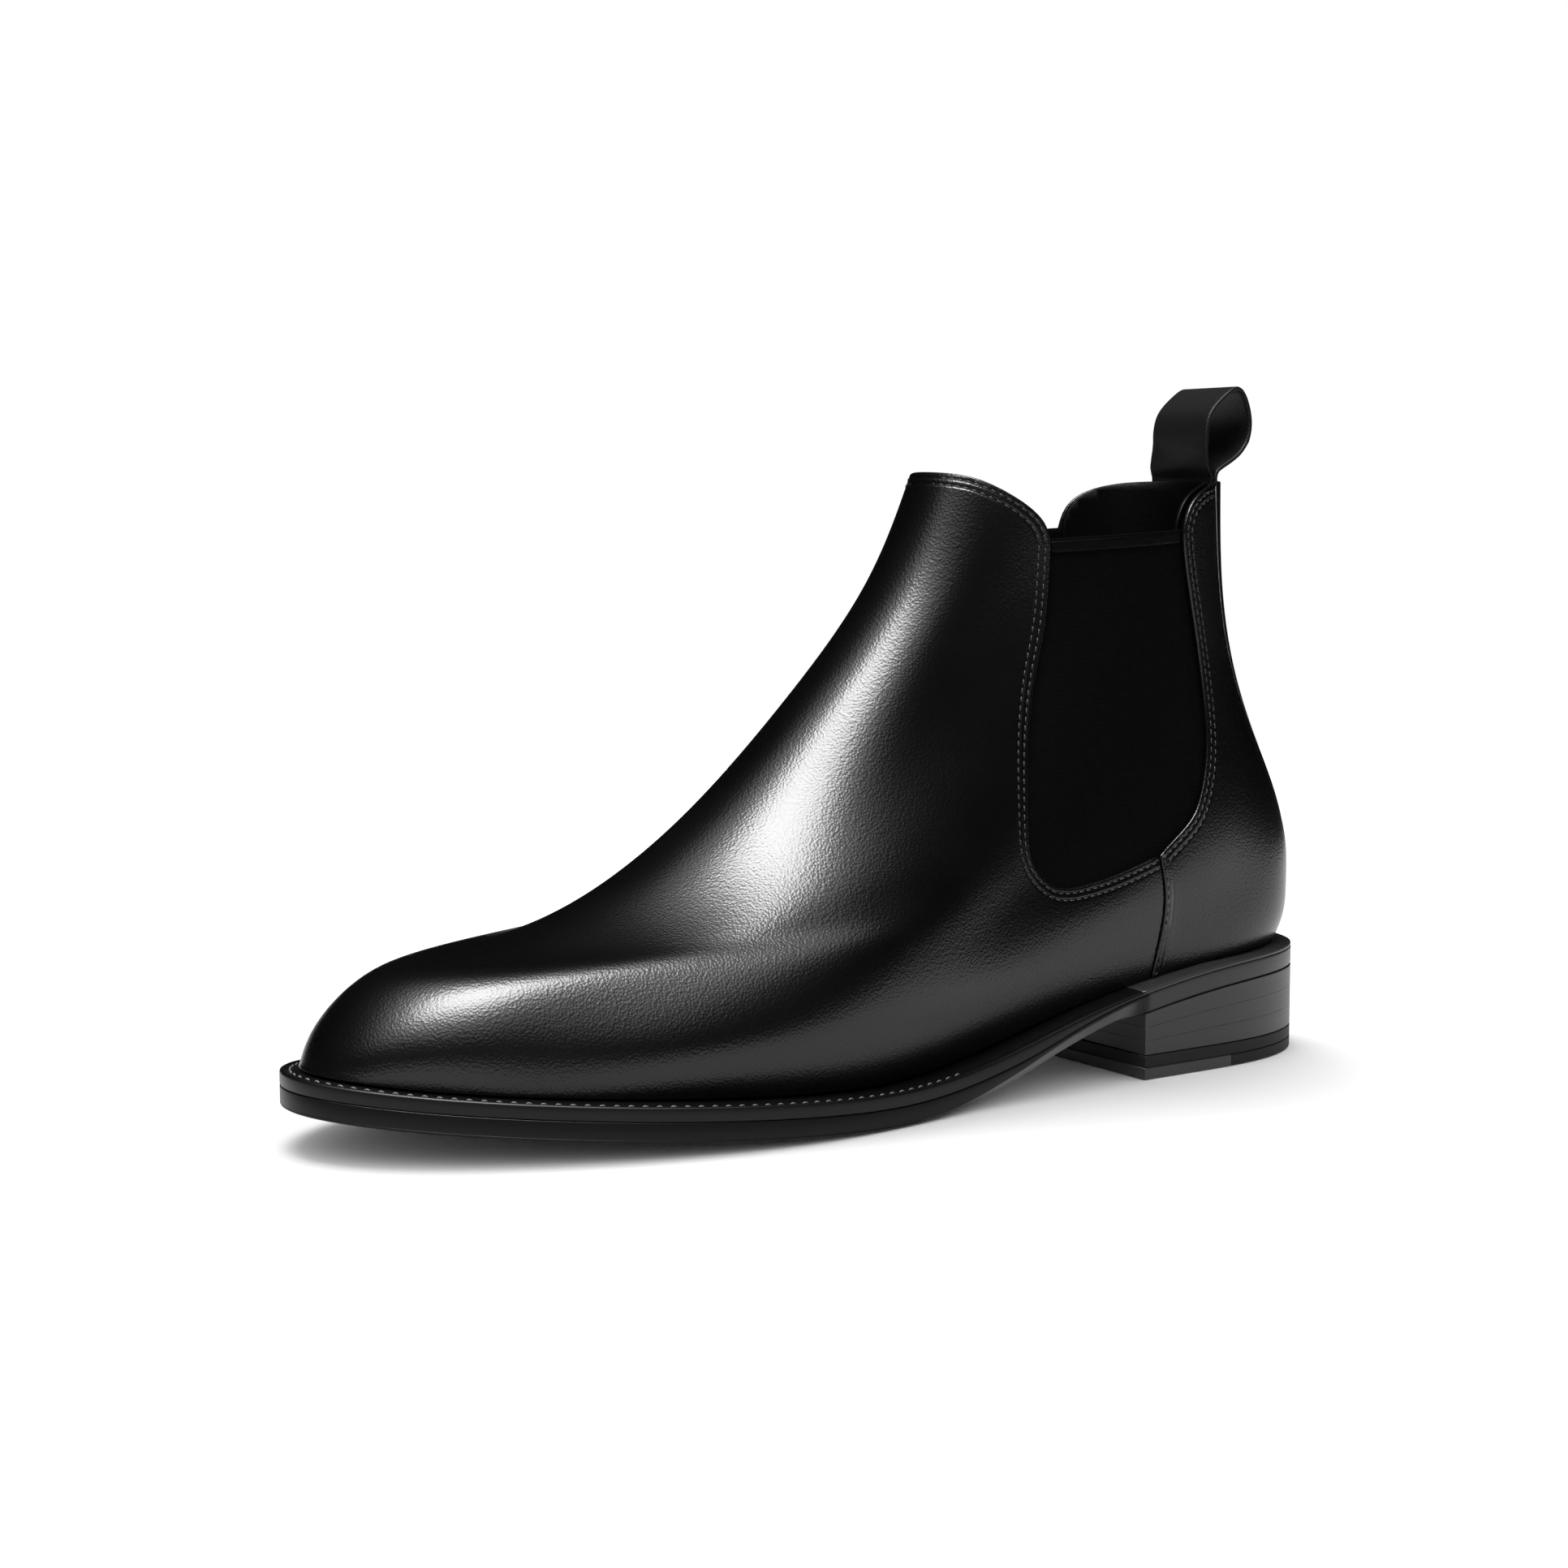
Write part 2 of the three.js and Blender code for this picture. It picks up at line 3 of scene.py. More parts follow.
import bpy
import numpy as np
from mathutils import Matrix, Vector


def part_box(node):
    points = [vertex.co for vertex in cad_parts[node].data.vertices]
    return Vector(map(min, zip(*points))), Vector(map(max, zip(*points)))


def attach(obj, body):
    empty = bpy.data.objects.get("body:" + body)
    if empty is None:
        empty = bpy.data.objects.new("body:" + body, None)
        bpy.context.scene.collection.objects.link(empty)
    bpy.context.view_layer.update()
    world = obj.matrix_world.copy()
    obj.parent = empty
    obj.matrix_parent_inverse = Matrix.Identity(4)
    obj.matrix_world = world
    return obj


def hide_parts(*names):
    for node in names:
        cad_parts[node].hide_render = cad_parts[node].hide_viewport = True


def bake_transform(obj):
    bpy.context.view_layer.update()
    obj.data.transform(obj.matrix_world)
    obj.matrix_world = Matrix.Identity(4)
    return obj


# Chelsea boot, left foot. The pieces are shaped on the last in millimetres, as (lateral, forward, height):
# lateral from the line through the pull loop, forward from the back of the heel, height from the floor.
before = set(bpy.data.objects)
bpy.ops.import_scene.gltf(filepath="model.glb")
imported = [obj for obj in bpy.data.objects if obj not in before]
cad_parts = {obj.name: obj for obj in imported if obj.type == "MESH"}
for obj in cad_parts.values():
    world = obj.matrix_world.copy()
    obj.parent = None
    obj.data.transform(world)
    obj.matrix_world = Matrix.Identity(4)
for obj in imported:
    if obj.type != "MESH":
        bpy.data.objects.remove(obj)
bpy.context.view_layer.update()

MM = 0.001
FULL_TURN = 2 * math.pi
loop_low, loop_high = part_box("pull_loop")
_, sole_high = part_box("outsole")
MIDDLE = (loop_low[0] + loop_high[0]) / 2
HEEL_BACK = sole_high[1]

# ---- Thicknesses and places, mm ----
LEATHER = 1.3
ELASTIC = 1.0
LINING = 1.1
FIT = 0.3
ELASTIC_DEPTH = LEATHER + FIT
LINING_DEPTH = ELASTIC_DEPTH + ELASTIC + FIT
LINING_INSIDE = LINING_DEPTH + LINING
OUTSOLE = 5.2
WELT = 3.5
WELT_AT_WAIST = 1.0
WELT_THICKENS_OVER = 50
WELT_DEPTH = 8
INSOLE = 2.5
SOCK = 1.0
STACK = OUTSOLE + WELT + 2 * FIT
HEEL_LENGTH = 76
TOP_LIFT = 6.5
INSERT_FROM = 43
GORE_LAP = 8
BINDING_THICK = 0.6
BINDING_DEPTH = 0.9
BINDING_HEIGHT = 3
SEAM_RISE = 0.6
SEAM_RISE_WIDTH = 7
STRIP_STANDS = 0.5
STRIP_THICK = 0.45
LOOP_WIDTH = 26
WEB = 1.2
COLLAR = 161.4

# ---- The last: front ridge and back curve in side view, feather line, half widths ----
RIDGE = [
    (302.5, 20), (296.5, 30), (281, 42), (256, 45), (225, 54), (193, 74.5), (162.5, 103.5),
    (137.7, 133.5), (123.5, 164.1),
]
BACK = [
    (5, 30), (2, 38.5), (2, 48.5), (3, 60.5), (7.5, 74.5), (15, 91.5), (22, 111), (27, 134.5), (29, 161.5),
]
FEATHER = [
    (0, 21), (40, 20.3), (70, 16.5), (100, 10.6), (125, 4.6), (145, 1.2), (165, 0), (190, 0.9), (220, 2.8),
    (250, 5), (285, 8.2), (307, 10.8),
]
STATIONS = [0.03, 0.08, 0.16, 0.3, 0.45, 0.6, 0.75, 0.88, 0.97]
LEVELS = [0, 0.125, 0.25, 0.5, 0.75, 1]
LATERAL = [
    [18.5, 26.5, 30, 32.5, 38, 47, 45, 33.5, 17.5],
    [19.5, 27, 30.5, 34.5, 42, 50.5, 47, 34.5, 20],
    [20, 27, 31, 35, 40, 48, 41.5, 31.5, 18],
    [18, 25, 30.5, 31.5, 33, 38.5, 37.5, 28.5, 14.5],
    [13, 20, 25.5, 29, 29, 25.5, 22.5, 19.5, 11],
    [12, 19, 24.5, 29, 30.5, 29.5, 24.5, 18, 10.5],
]
MEDIAL = [
    [18.5, 26, 29, 28, 27.5, 35, 41, 32.5, 18],
    [19.5, 26.5, 29.5, 28, 28, 35, 41.5, 35.5, 20.5],
    [20, 27, 30.5, 29, 29, 34.5, 39.5, 31.5, 16],
    [18, 25, 30.5, 33, 33, 34.5, 32, 23.5, 15],
    [13, 20, 25.5, 30.5, 33, 33.5, 30.5, 24.5, 12.5],
    [12, 19, 24.5, 29, 30.5, 30, 26.5, 19, 9],
]
REACH_STATIONS = [0, 0.3, 0.6, 1]
REACH_LATERAL = [5, 8, 9.5, 4.5]
REACH_MEDIAL = [5, 6, 8.5, 4.5]

# ---- Cutting lines in side view, (forward, height) ----
GORE_FRONT = [
    (98.5, 145), (99.8, 125.5), (103.8, 110), (108.6, 91), (111.5, 72.5), (111.3, 61.7), (106.6, 56),
    (99.5, 53.6), (84, 55.5), (67.5, 60),
]
GORE_BACK = [
    (67.5, 60), (56.6, 67.9), (51.7, 74.6), (47.9, 86.2), (47.2, 101.7), (50, 119.6), (54.6, 137),
    (56.4, 147.5),
]
SEAM = [(67.5, 60), (65.8, 49.7), (65.8, 40.7), (67.8, 28.3), (69.5, 12)]
COLLAR_FRONT = [(98.5, 145), (101, 151), (108.2, 157.2), (117, 162), (124, 163.7)]
COLLAR_BACK = [(56.4, 147.5), (54.5, 153), (49.2, 157.9), (39.2, 160.7), (29, 161.4)]
COUNTER = [(-20, 5), (61, 5), (60, 42), (44, 56), (25, 63), (-20, 66)]
TOE_PUFF_FROM = 240
TOPLINE_TAPE = [(113, 151), (300, 151), (300, 159), (118, 158.6), (113, 156.5)]

# ---- Cutting lines seen from behind, (lateral, height) ----
STRIP = [(-11, 34), (11, 34), (23, 161.4), (-23, 161.4)]
TAILS = [(-13, 143.4), (13, 143.4), (13, 161.1), (-13, 161.1)]

# Past the boot on every side.
FAR = 400

# ---- Curves ----


def natural_spline(places, values):
    """A natural cubic through values at places; values may be columns."""
    xs = np.asarray(places, float)
    ys = np.asarray(values, float)
    n = len(xs)
    h = np.diff(xs)
    system = np.eye(n)
    bends = np.zeros_like(ys)
    for i in range(1, n - 1):
        system[i, i - 1 : i + 2] = h[i - 1], 2 * (h[i - 1] + h[i]), h[i]
        bends[i] = 6 * ((ys[i + 1] - ys[i]) / h[i] - (ys[i] - ys[i - 1]) / h[i - 1])
    bends = np.linalg.solve(system, bends)

    def curve(x):
        x = np.asarray(x, float)
        i = np.clip(np.searchsorted(xs, x) - 1, 0, n - 2)
        a, b, w = x - xs[i], xs[i + 1] - x, h[i]
        if ys.ndim > 1:
            a, b, w = a[..., None], b[..., None], w[..., None]
        cubic = (bends[i] * b**3 + bends[i + 1] * a**3) / (6 * w)
        return cubic + (ys[i] / w - bends[i] * w / 6) * b + (ys[i + 1] / w - bends[i + 1] * w / 6) * a

    return curve


def smooth_line(points, steps):
    """A curve through the points, as steps + 1 points of its own."""
    places = np.linspace(0, 1, len(points))
    return natural_spline(places, points)(np.linspace(0, 1, steps + 1))


ridge = natural_spline(np.linspace(0, 1, len(RIDGE)), RIDGE)
back = natural_spline(np.linspace(0, 1, len(BACK)), BACK)
feather_rise = natural_spline([p[0] for p in FEATHER], [p[1] for p in FEATHER])


def feather(forward):
    """The height of the feather line above the floor."""
    return STACK + feather_rise(forward)


station_shares = natural_spline(STATIONS, np.eye(len(STATIONS)))
level_shares = natural_spline(LEVELS, np.eye(len(LEVELS)))
HALF_CIRCLE = 2 * np.sqrt(np.array(STATIONS) * (1 - np.array(STATIONS)))
LATERAL_SWELL = np.array(LATERAL) / HALF_CIRCLE
MEDIAL_SWELL = np.array(MEDIAL) / HALF_CIRCLE
# The feather line's waist sag is gone from this level up.
SAG_END = 0.45


def last_surface(angle, level):
    """Points of the last. Angle 0 is the back, pi the front ridge, and 0 to pi the lateral side.

    Level 0 is the feather line and level 1 the collar.
    """
    angle, level = np.broadcast_arrays(np.asarray(angle, float), np.asarray(level, float))
    t = (1 - np.cos(angle)) / 2
    front, rear = ridge(level), back(level)
    front0, rear0 = ridge(0.0), back(0.0)
    forward = rear[..., 0] + (front[..., 0] - rear[..., 0]) * t
    sag = feather(rear0[0] + (front0[0] - rear0[0]) * t) - (rear0[1] + (front0[1] - rear0[1]) * t)
    fade = np.where(level < SAG_END, (1 - level / SAG_END) ** 2, 0)
    height = rear[..., 1] + (front[..., 1] - rear[..., 1]) * t + sag * fade
    by_level, by_station = level_shares(level), station_shares(t)
    lateral = np.einsum("...i,ij,...j->...", by_level, LATERAL_SWELL, by_station)
    medial = np.einsum("...i,ij,...j->...", by_level, MEDIAL_SWELL, by_station)
    side = np.sin(angle)
    return np.stack([side * np.where(side >= 0, lateral, medial), forward, height], -1)


def unit(v):
    """The vectors at length 1."""
    return v / np.linalg.norm(v, axis=-1, keepdims=True)


# Below this level the normal is laid down, until it is level at the feather line.
LAID_DOWN = 0.12


def last_normal(angle, level):
    """The way out of the last's surface."""
    step = 0.002
    angle, level = np.broadcast_arrays(np.asarray(angle, float), np.asarray(level, float))
    along = last_surface(angle + step, level) - last_surface(angle - step, level)
    up = last_surface(angle, np.minimum(level + step, 1)) - last_surface(angle, np.maximum(level - step, 0))
    normal = unit(np.cross(along, up))
    flat = np.clip(1 - level / LAID_DOWN, 0, 1)
    normal[..., 2] *= 1 - flat**2
    return unit(normal)


def to_frame(points):
    """From (lateral, forward, height) in mm to the frame, in metres."""
    points = np.asarray(points, float)
    moved = np.empty_like(points)
    moved[..., 0] = MIDDLE + points[..., 0] * MM
    moved[..., 1] = HEEL_BACK - points[..., 1] * MM
    moved[..., 2] = points[..., 2] * MM
    return moved


def find_on_last(forward, height):
    """Angle, on the lateral side, and level of the surface points seen at these places in side view."""
    above_collar, halvings = 1.02, 40
    low, high = np.zeros_like(forward), np.full_like(forward, above_collar)
    for _ in range(halvings):
        level = (low + high) / 2
        front, rear = ridge(level), back(level)
        t = np.clip((forward - rear[..., 0]) / (front[..., 0] - rear[..., 0]), 0, 1)
        z = last_surface(np.arccos(1 - 2 * t), level)[..., 2]
        low = np.where(z < height, level, low)
        high = np.where(z < height, high, level)
    return np.arccos(1 - 2 * t), level


# ---- Meshes ----


def mesh_piece(name, vertices, faces, material, body="boot"):
    """A smooth-shaded piece from vertices in (lateral, forward, height) mm, riding its body."""
    mesh = bpy.data.meshes.new(name)
    mesh.from_pydata(to_frame(vertices).tolist(), [], [list(f) for f in faces])
    mesh.update()
    mesh.polygons.foreach_set("use_smooth", [True] * len(mesh.polygons))
    mesh.materials.append(material)
    piece = bpy.data.objects.new(name, mesh)
    bpy.context.scene.collection.objects.link(piece)
    if body is not None:
        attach(piece, body)
    return piece


def store(piece, name, values):
    """Keeps a value on each vertex, for a material to read."""
    attribute = piece.data.attributes.new(name, "FLOAT", "POINT")
    attribute.data.foreach_set("value", np.asarray(values, np.float32))


TINY = 1e-9


def distance_to_line(u, v, line):
    """Distance from each (u, v) to a polyline."""
    a, b = line[:-1], line[1:]
    step = b - a
    length = np.linalg.norm(step, axis=1)
    nearest = np.full(u.shape, np.inf)
    for i in range(len(a)):
        if length[i] < TINY:
            continue
        s = np.clip(((u - a[i, 0]) * step[i, 0] + (v - a[i, 1]) * step[i, 1]) / length[i] ** 2, 0, 1)
        d = np.hypot(u - a[i, 0] - s * step[i, 0], v - a[i, 1] - s * step[i, 1])
        nearest = np.minimum(nearest, d)
    return nearest


def inside_outline(outline):
    """Signed distance to a closed outline, positive inside."""
    closed = np.vstack([outline, outline[:1]])

    def signed(u, v):
        distance = distance_to_line(u, v, closed)
        crossings = np.zeros(u.shape, bool)
        for (x0, y0), (x1, y1) in zip(closed[:-1], closed[1:]):
            if y0 != y1:
                spans = (y0 > v) != (y1 > v)
                crossings ^= spans & (u < (x1 - x0) * (v - y0) / (y1 - y0) + x0)
        return np.where(crossings, distance, -distance)

    return signed


def side_view(outline):
    """Distance of points inside an outline of (forward, height)."""
    signed = inside_outline(np.asarray(outline, float))
    return lambda p: signed(p[..., 1], p[..., 2])


def rear_view(outline):
    """Distance of points inside an outline of (lateral, height)."""
    signed = inside_outline(np.asarray(outline, float))
    return lambda p: signed(p[..., 0], p[..., 2])


# Grid points this near the cutting line, as a share of a cell, move onto it, so no slivers are left.
SNAP_SHARE = 0.4
SNAP_PASSES = 4
# A point within this many mm of the line counts as on it, and one pass moves no point further than the step.
SNAPPED = 0.05
LONGEST_STEP = 0.6
LEAST_GRADE = 0.02
CUT_HALVINGS = 12


def cut_from_last(turn, levels, inside, spacing):
    """The part of the last's surface where inside() is positive: angles, levels and faces, cut cleanly."""
    angles = np.linspace(turn[0], turn[1], max(8, round((turn[1] - turn[0]) / spacing[0])) + 1)
    rises = np.linspace(levels[0], levels[1], max(4, round((levels[1] - levels[0]) / spacing[1])) + 1)
    A, L = (g.copy() for g in np.meshgrid(angles, rises, indexing="ij"))
    measure = lambda a, l: inside(last_surface(a, l))
    D = measure(A, L)
    nudge = 1e-4
    P = last_surface(A, L)
    speed_a = np.linalg.norm(last_surface(A + nudge, L) - P, axis=-1) / nudge
    speed_l = np.linalg.norm(last_surface(A, L + nudge) - P, axis=-1) / nudge
    cell = np.minimum(speed_a * (angles[1] - angles[0]), speed_l * (rises[1] - rises[0]))
    near = np.abs(D) < SNAP_SHARE * cell
    for _ in range(SNAP_PASSES):
        a, l, d = A[near], L[near], D[near]
        sa, sl = np.maximum(speed_a[near], 1), np.maximum(speed_l[near], 1)
        ga = (measure(a + nudge, l) - d) / nudge / sa
        gl = (measure(a, l + nudge) - d) / nudge / sl
        grade = np.maximum(ga**2 + gl**2, LEAST_GRADE)
        A[near] = a - np.clip(d * ga / grade, -LONGEST_STEP, LONGEST_STEP) / sa
        risen = l - np.clip(d * gl / grade, -LONGEST_STEP, LONGEST_STEP) / sl
        L[near] = np.clip(risen, levels[0], levels[1])
        D[near] = measure(A[near], L[near])
    D[near & (np.abs(D) < SNAPPED)] = 0
    na, nl = A.shape
    index = np.arange(na * nl).reshape(na, nl)
    corners = np.stack([index[:-1, :-1], index[:-1, 1:], index[1:, 1:], index[1:, :-1]], -1).reshape(-1, 4)
    flat_a, flat_l, flat_d = A.ravel(), L.ravel(), D.ravel()
    inside_count = (flat_d[corners] >= 0).sum(1)
    strictly = (flat_d[corners] > 0).any(1)
    faces = corners[(inside_count == 4) & strictly].tolist()
    mixed = corners[(inside_count < 4) & strictly]
    edges = np.sort(np.stack([mixed, np.roll(mixed, -1, axis=1)], -1).reshape(-1, 2), axis=1)
    edges = np.unique(edges, axis=0)
    edges = edges[flat_d[edges[:, 0]] * flat_d[edges[:, 1]] < 0]
    i, j = edges[:, 0], edges[:, 1]
    low, high = np.zeros(len(edges)), np.ones(len(edges))
    for _ in range(CUT_HALVINGS):
        s = (low + high) / 2
        extra_a = flat_a[i] + (flat_a[j] - flat_a[i]) * s
        extra_l = flat_l[i] + (flat_l[j] - flat_l[i]) * s
        same = (measure(extra_a, extra_l) >= 0) == (flat_d[i] >= 0)
        low, high = np.where(same, s, low), np.where(same, high, s)
    crossing = {(a, b): na * nl + n for n, (a, b) in enumerate(edges.tolist())}
    for quad in mixed.tolist():
        polygon = []
        for k in range(4):
            a, b = quad[k], quad[(k + 1) % 4]
            if flat_d[a] >= 0:
                polygon.append(a)
            if (min(a, b), max(a, b)) in crossing:
                polygon.append(crossing[(min(a, b), max(a, b))])
        if len(polygon) > 2:
            faces.append(polygon)
    all_a = np.concatenate([flat_a, extra_a])
    all_l = np.concatenate([flat_l, extra_l])
    used = sorted({i for f in faces for i in f})
    renumber = {old: new for new, old in enumerate(used)}
    faces = [[renumber[i] for i in f] for f in faces]
    return all_a[used], all_l[used], faces


def rim_edges(faces):
    """Directed edges that belong to one face only."""
    seen = {}
    for f in faces:
        for k in range(len(f)):
            seen[(f[k], f[(k + 1) % len(f)])] = True
    return [e for e in seen if (e[1], e[0]) not in seen]


RIM_STEPS = 3
# What the stitch grooves read where no cutting line is near, in mm.
NO_LINE_NEAR = 50.0


def panel(name, material, turn, inside, depth, thickness, edge, levels=(0, 1), spacing=(0.018, 0.009),
          lift=None, seams=None):
    """A panel of even thickness cut from the last's skin, its rim rolled over by edge.

    lift raises it where it laps another, and seams are the cutting lines that stitches follow.
    """
    angle, level, faces = cut_from_last(turn, levels, inside, spacing)
    surface = last_surface(angle, level)
    normal = last_normal(angle, level)
    outer = surface - normal * depth
    if lift is not None:
        outer = outer + normal * lift(surface)[:, None]
    rim = rim_edges(faces)
    inward = np.zeros_like(outer)
    for a, b in rim:
        along = outer[b] - outer[a]
        for k in (a, b):
            inward[k] += np.cross(along, normal[k])
    border = sorted({k for e in rim for k in e})
    inward[border] /= np.maximum(np.linalg.norm(inward[border], axis=1, keepdims=True), TINY)
    place = {k: n for n, k in enumerate(border)}
    P, N, I = outer[border], normal[border], inward[border]
    rings = []
    for k in range(1, RIM_STEPS + 1):
        phi = math.pi / 2 * k / RIM_STEPS
        rings.append(P + I * edge * (1 - math.sin(phi)) - N * edge * (1 - math.cos(phi)))
    rings.append(P - N * (thickness - edge * 0.5))
    inner = outer - normal * thickness
    inner[border] += I * edge * 0.5
    outer[border] = P + I * edge
    count, ring = len(outer), len(border)
    vertices = np.vstack([outer, *rings, inner])
    all_faces = list(faces)
    inner_start = count + ring * len(rings)
    all_faces += [[inner_start + i for i in reversed(f)] for f in faces]
    levels_of = [lambda k: k]
    for n in range(len(rings)):
        levels_of.append(lambda k, n=n: count + n * ring + place[k])
    levels_of.append(lambda k: inner_start + k)
    for a, b in rim:
        for low, high in zip(levels_of[:-1], levels_of[1:]):
            all_faces.append([low(b), low(a), high(a), high(b)])
    piece = mesh_piece(name, vertices, all_faces, material)
    if seams is not None:
        distance = np.full(count, NO_LINE_NEAR)
        for line in seams:
            distance = np.minimum(distance, distance_to_line(surface[:, 1], surface[:, 2], line))
        far = np.full(len(vertices) - count, NO_LINE_NEAR)
        store(piece, "from_edge", np.concatenate([distance, far]))
    return piece


# ---- Materials ----


def linear(hex_colour):
    """sRGB hex to the linear colour that the shader takes."""
    parts = [int(hex_colour[i : i + 2], 16) / 255 for i in (1, 3, 5)]
    return (*[p / 12.92 if p <= 0.04045 else ((p + 0.055) / 1.055) ** 2.4 for p in parts], 1)


def node(tree, kind, links=None, **settings):
    """Adds a shader node: settings are its own properties or input values, links its inputs' sources."""
    made = tree.nodes.new(kind)
    for key, value in settings.items():
        if hasattr(made, key):
            setattr(made, key, value)
        else:
            made.inputs[key.replace("_", " ")].default_value = value
    for socket, source in (links or {}).items():
        tree.links.new(source, made.inputs[socket])
    return made


def new_material(name, colour, roughness, metallic=0.0, specular=0.5):
    """A material with its shader. The shader's own IOR of 1.5 suits leather, thread, rubber and paper."""
    material = bpy.data.materials.new(name)
    material.use_nodes = True
    tree = material.node_tree
    shader = tree.nodes["Principled BSDF"]
    shader.inputs["Base Color"].default_value = linear(colour)
    shader.inputs["Roughness"].default_value = roughness
    shader.inputs["Metallic"].default_value = metallic
    shader.inputs["Specular IOR Level"].default_value = specular
    return material, tree, shader


def grains(size):
    """The scale of a cell or noise pattern whose grains are this many mm wide."""
    return 1 / (size * MM)


def ribs(spacing, slanted=False):
    """The scale of a wave pattern whose ribs are this many mm apart; slanted ones cross all three axes."""
    # At a scale of 1 upright ribs turn 20 radians in a metre, and slanted ones 10 along each axis.
    radians_per_metre = 10 * math.sqrt(3) if slanted else 20
    return FULL_TURN / (radians_per_metre * spacing * MM)


# The sizes in mm that the patterns are drawn from. Pores, creases and fibre layers are coarser than the real
# ones, so that they show.
PORE = 2 / 3
CREASE = 2 / 3
GLAZE_CLOUD = 35.7
HIDE_CLOUD = 22.2
GRAIN_RELIEF = 0.2
ELASTIC_RIB = 1.963
ELASTIC_PICK = 1.208
YARN_LINT = 2.38
COTTON_LINT = 2.0
TWILL_RIB = 0.756
THREAD_TWIST = 0.403
FIBRE_RUN = 40
FIBRE_LAYER = 5 / 6
SCRATCH = 2.5
PAPER_TOOTH = 1.11


def polished_calf():
    """Black box calf, glazed and polished: a deep black with a broad soft shine that shows its fine pores."""
    material, tree, shader = new_material("polished_calf", "#050506", 0.27, specular=0.4)
    place = node(tree, "ShaderNodeTexCoord").outputs["Object"]
    pores = node(
        tree, "ShaderNodeTexVoronoi", {"Vector": place}, feature="SMOOTH_F1",
        Scale=grains(PORE), Smoothness=0.4,
    )
    creases = node(tree, "ShaderNodeTexNoise", {"Vector": place}, Scale=grains(CREASE), Detail=3.0)
    clouds = node(tree, "ShaderNodeTexNoise", {"Vector": place}, Scale=grains(GLAZE_CLOUD), Detail=3.0)
    tone = node(
        tree, "ShaderNodeMix", {"Factor": clouds.outputs["Fac"]}, data_type="RGBA",
        A=linear("#030304"), B=linear("#070708"),
    )
    tree.links.new(tone.outputs["Result"], shader.inputs["Base Color"])
    rough = node(tree, "ShaderNodeMapRange", {"Value": clouds.outputs["Fac"]}, To_Min=0.24, To_Max=0.32)
    tree.links.new(rough.outputs["Result"], shader.inputs["Roughness"])
    grain = node(
        tree, "ShaderNodeBump", {"Height": pores.outputs["Distance"]},
        Strength=0.26, Distance=GRAIN_RELIEF * MM,
    )
    fine = node(
        tree, "ShaderNodeBump", {"Height": creases.outputs["Fac"], "Normal": grain.outputs["Normal"]},
        Strength=0.12, Distance=GRAIN_RELIEF * MM,
    )
    edge = node(tree, "ShaderNodeAttribute", attribute_name="from_edge").outputs["Fac"]
    pressed = node(
        tree, "ShaderNodeBump", {"Height": stitch_groove(tree, edge), "Normal": fine.outputs["Normal"]},
        Strength=0.35, Distance=0.3 * MM,
    )
    tree.links.new(pressed.outputs["Normal"], shader.inputs["Normal"])
    return material


ROW_INSETS = (1.5, 3.3)
# The square of the groove's half width, in mm2.
GROOVE_SPREAD = 0.5


def stitch_groove(tree, edge):
    """A shallow channel under each row of stitches, from the distance to the panel's edge."""
    dips = []
    for inset in ROW_INSETS:
        away = node(tree, "ShaderNodeMath", {0: edge}, operation="SUBTRACT")
        away.inputs[1].default_value = inset
        square = node(tree, "ShaderNodeMath", {0: away.outputs[0], 1: away.outputs[0]}, operation="MULTIPLY")
        dip = node(
            tree, "ShaderNodeMapRange", {"Value": square.outputs[0]}, interpolation_type="SMOOTHSTEP",
            From_Max=GROOVE_SPREAD,
        )
        dips.append(dip.outputs["Result"])
    return node(tree, "ShaderNodeMath", {0: dips[0], 1: dips[1]}, operation="ADD").outputs[0]


def plain_grain(name, dark, light, roughness, pore, grain, specular=0.5):
    """Leather, board or rubber with a plain grain: two close tones in clouds, and small pores."""
    material, tree, shader = new_material(name, dark, roughness, specular=specular)
    place = node(tree, "ShaderNodeTexCoord").outputs["Object"]
    pores = node(tree, "ShaderNodeTexVoronoi", {"Vector": place}, Scale=grains(pore))
    clouds = node(tree, "ShaderNodeTexNoise", {"Vector": place}, Scale=grains(HIDE_CLOUD), Detail=4.0)
    tone = node(
        tree, "ShaderNodeMix", {"Factor": clouds.outputs["Fac"]}, data_type="RGBA",
        A=linear(dark), B=linear(light),
    )
    tree.links.new(tone.outputs["Result"], shader.inputs["Base Color"])
    bump = node(
        tree, "ShaderNodeBump", {"Height": pores.outputs["Distance"]},
        Strength=grain, Distance=GRAIN_RELIEF * MM,
    )
    tree.links.new(bump.outputs["Normal"], shader.inputs["Normal"])
    return material


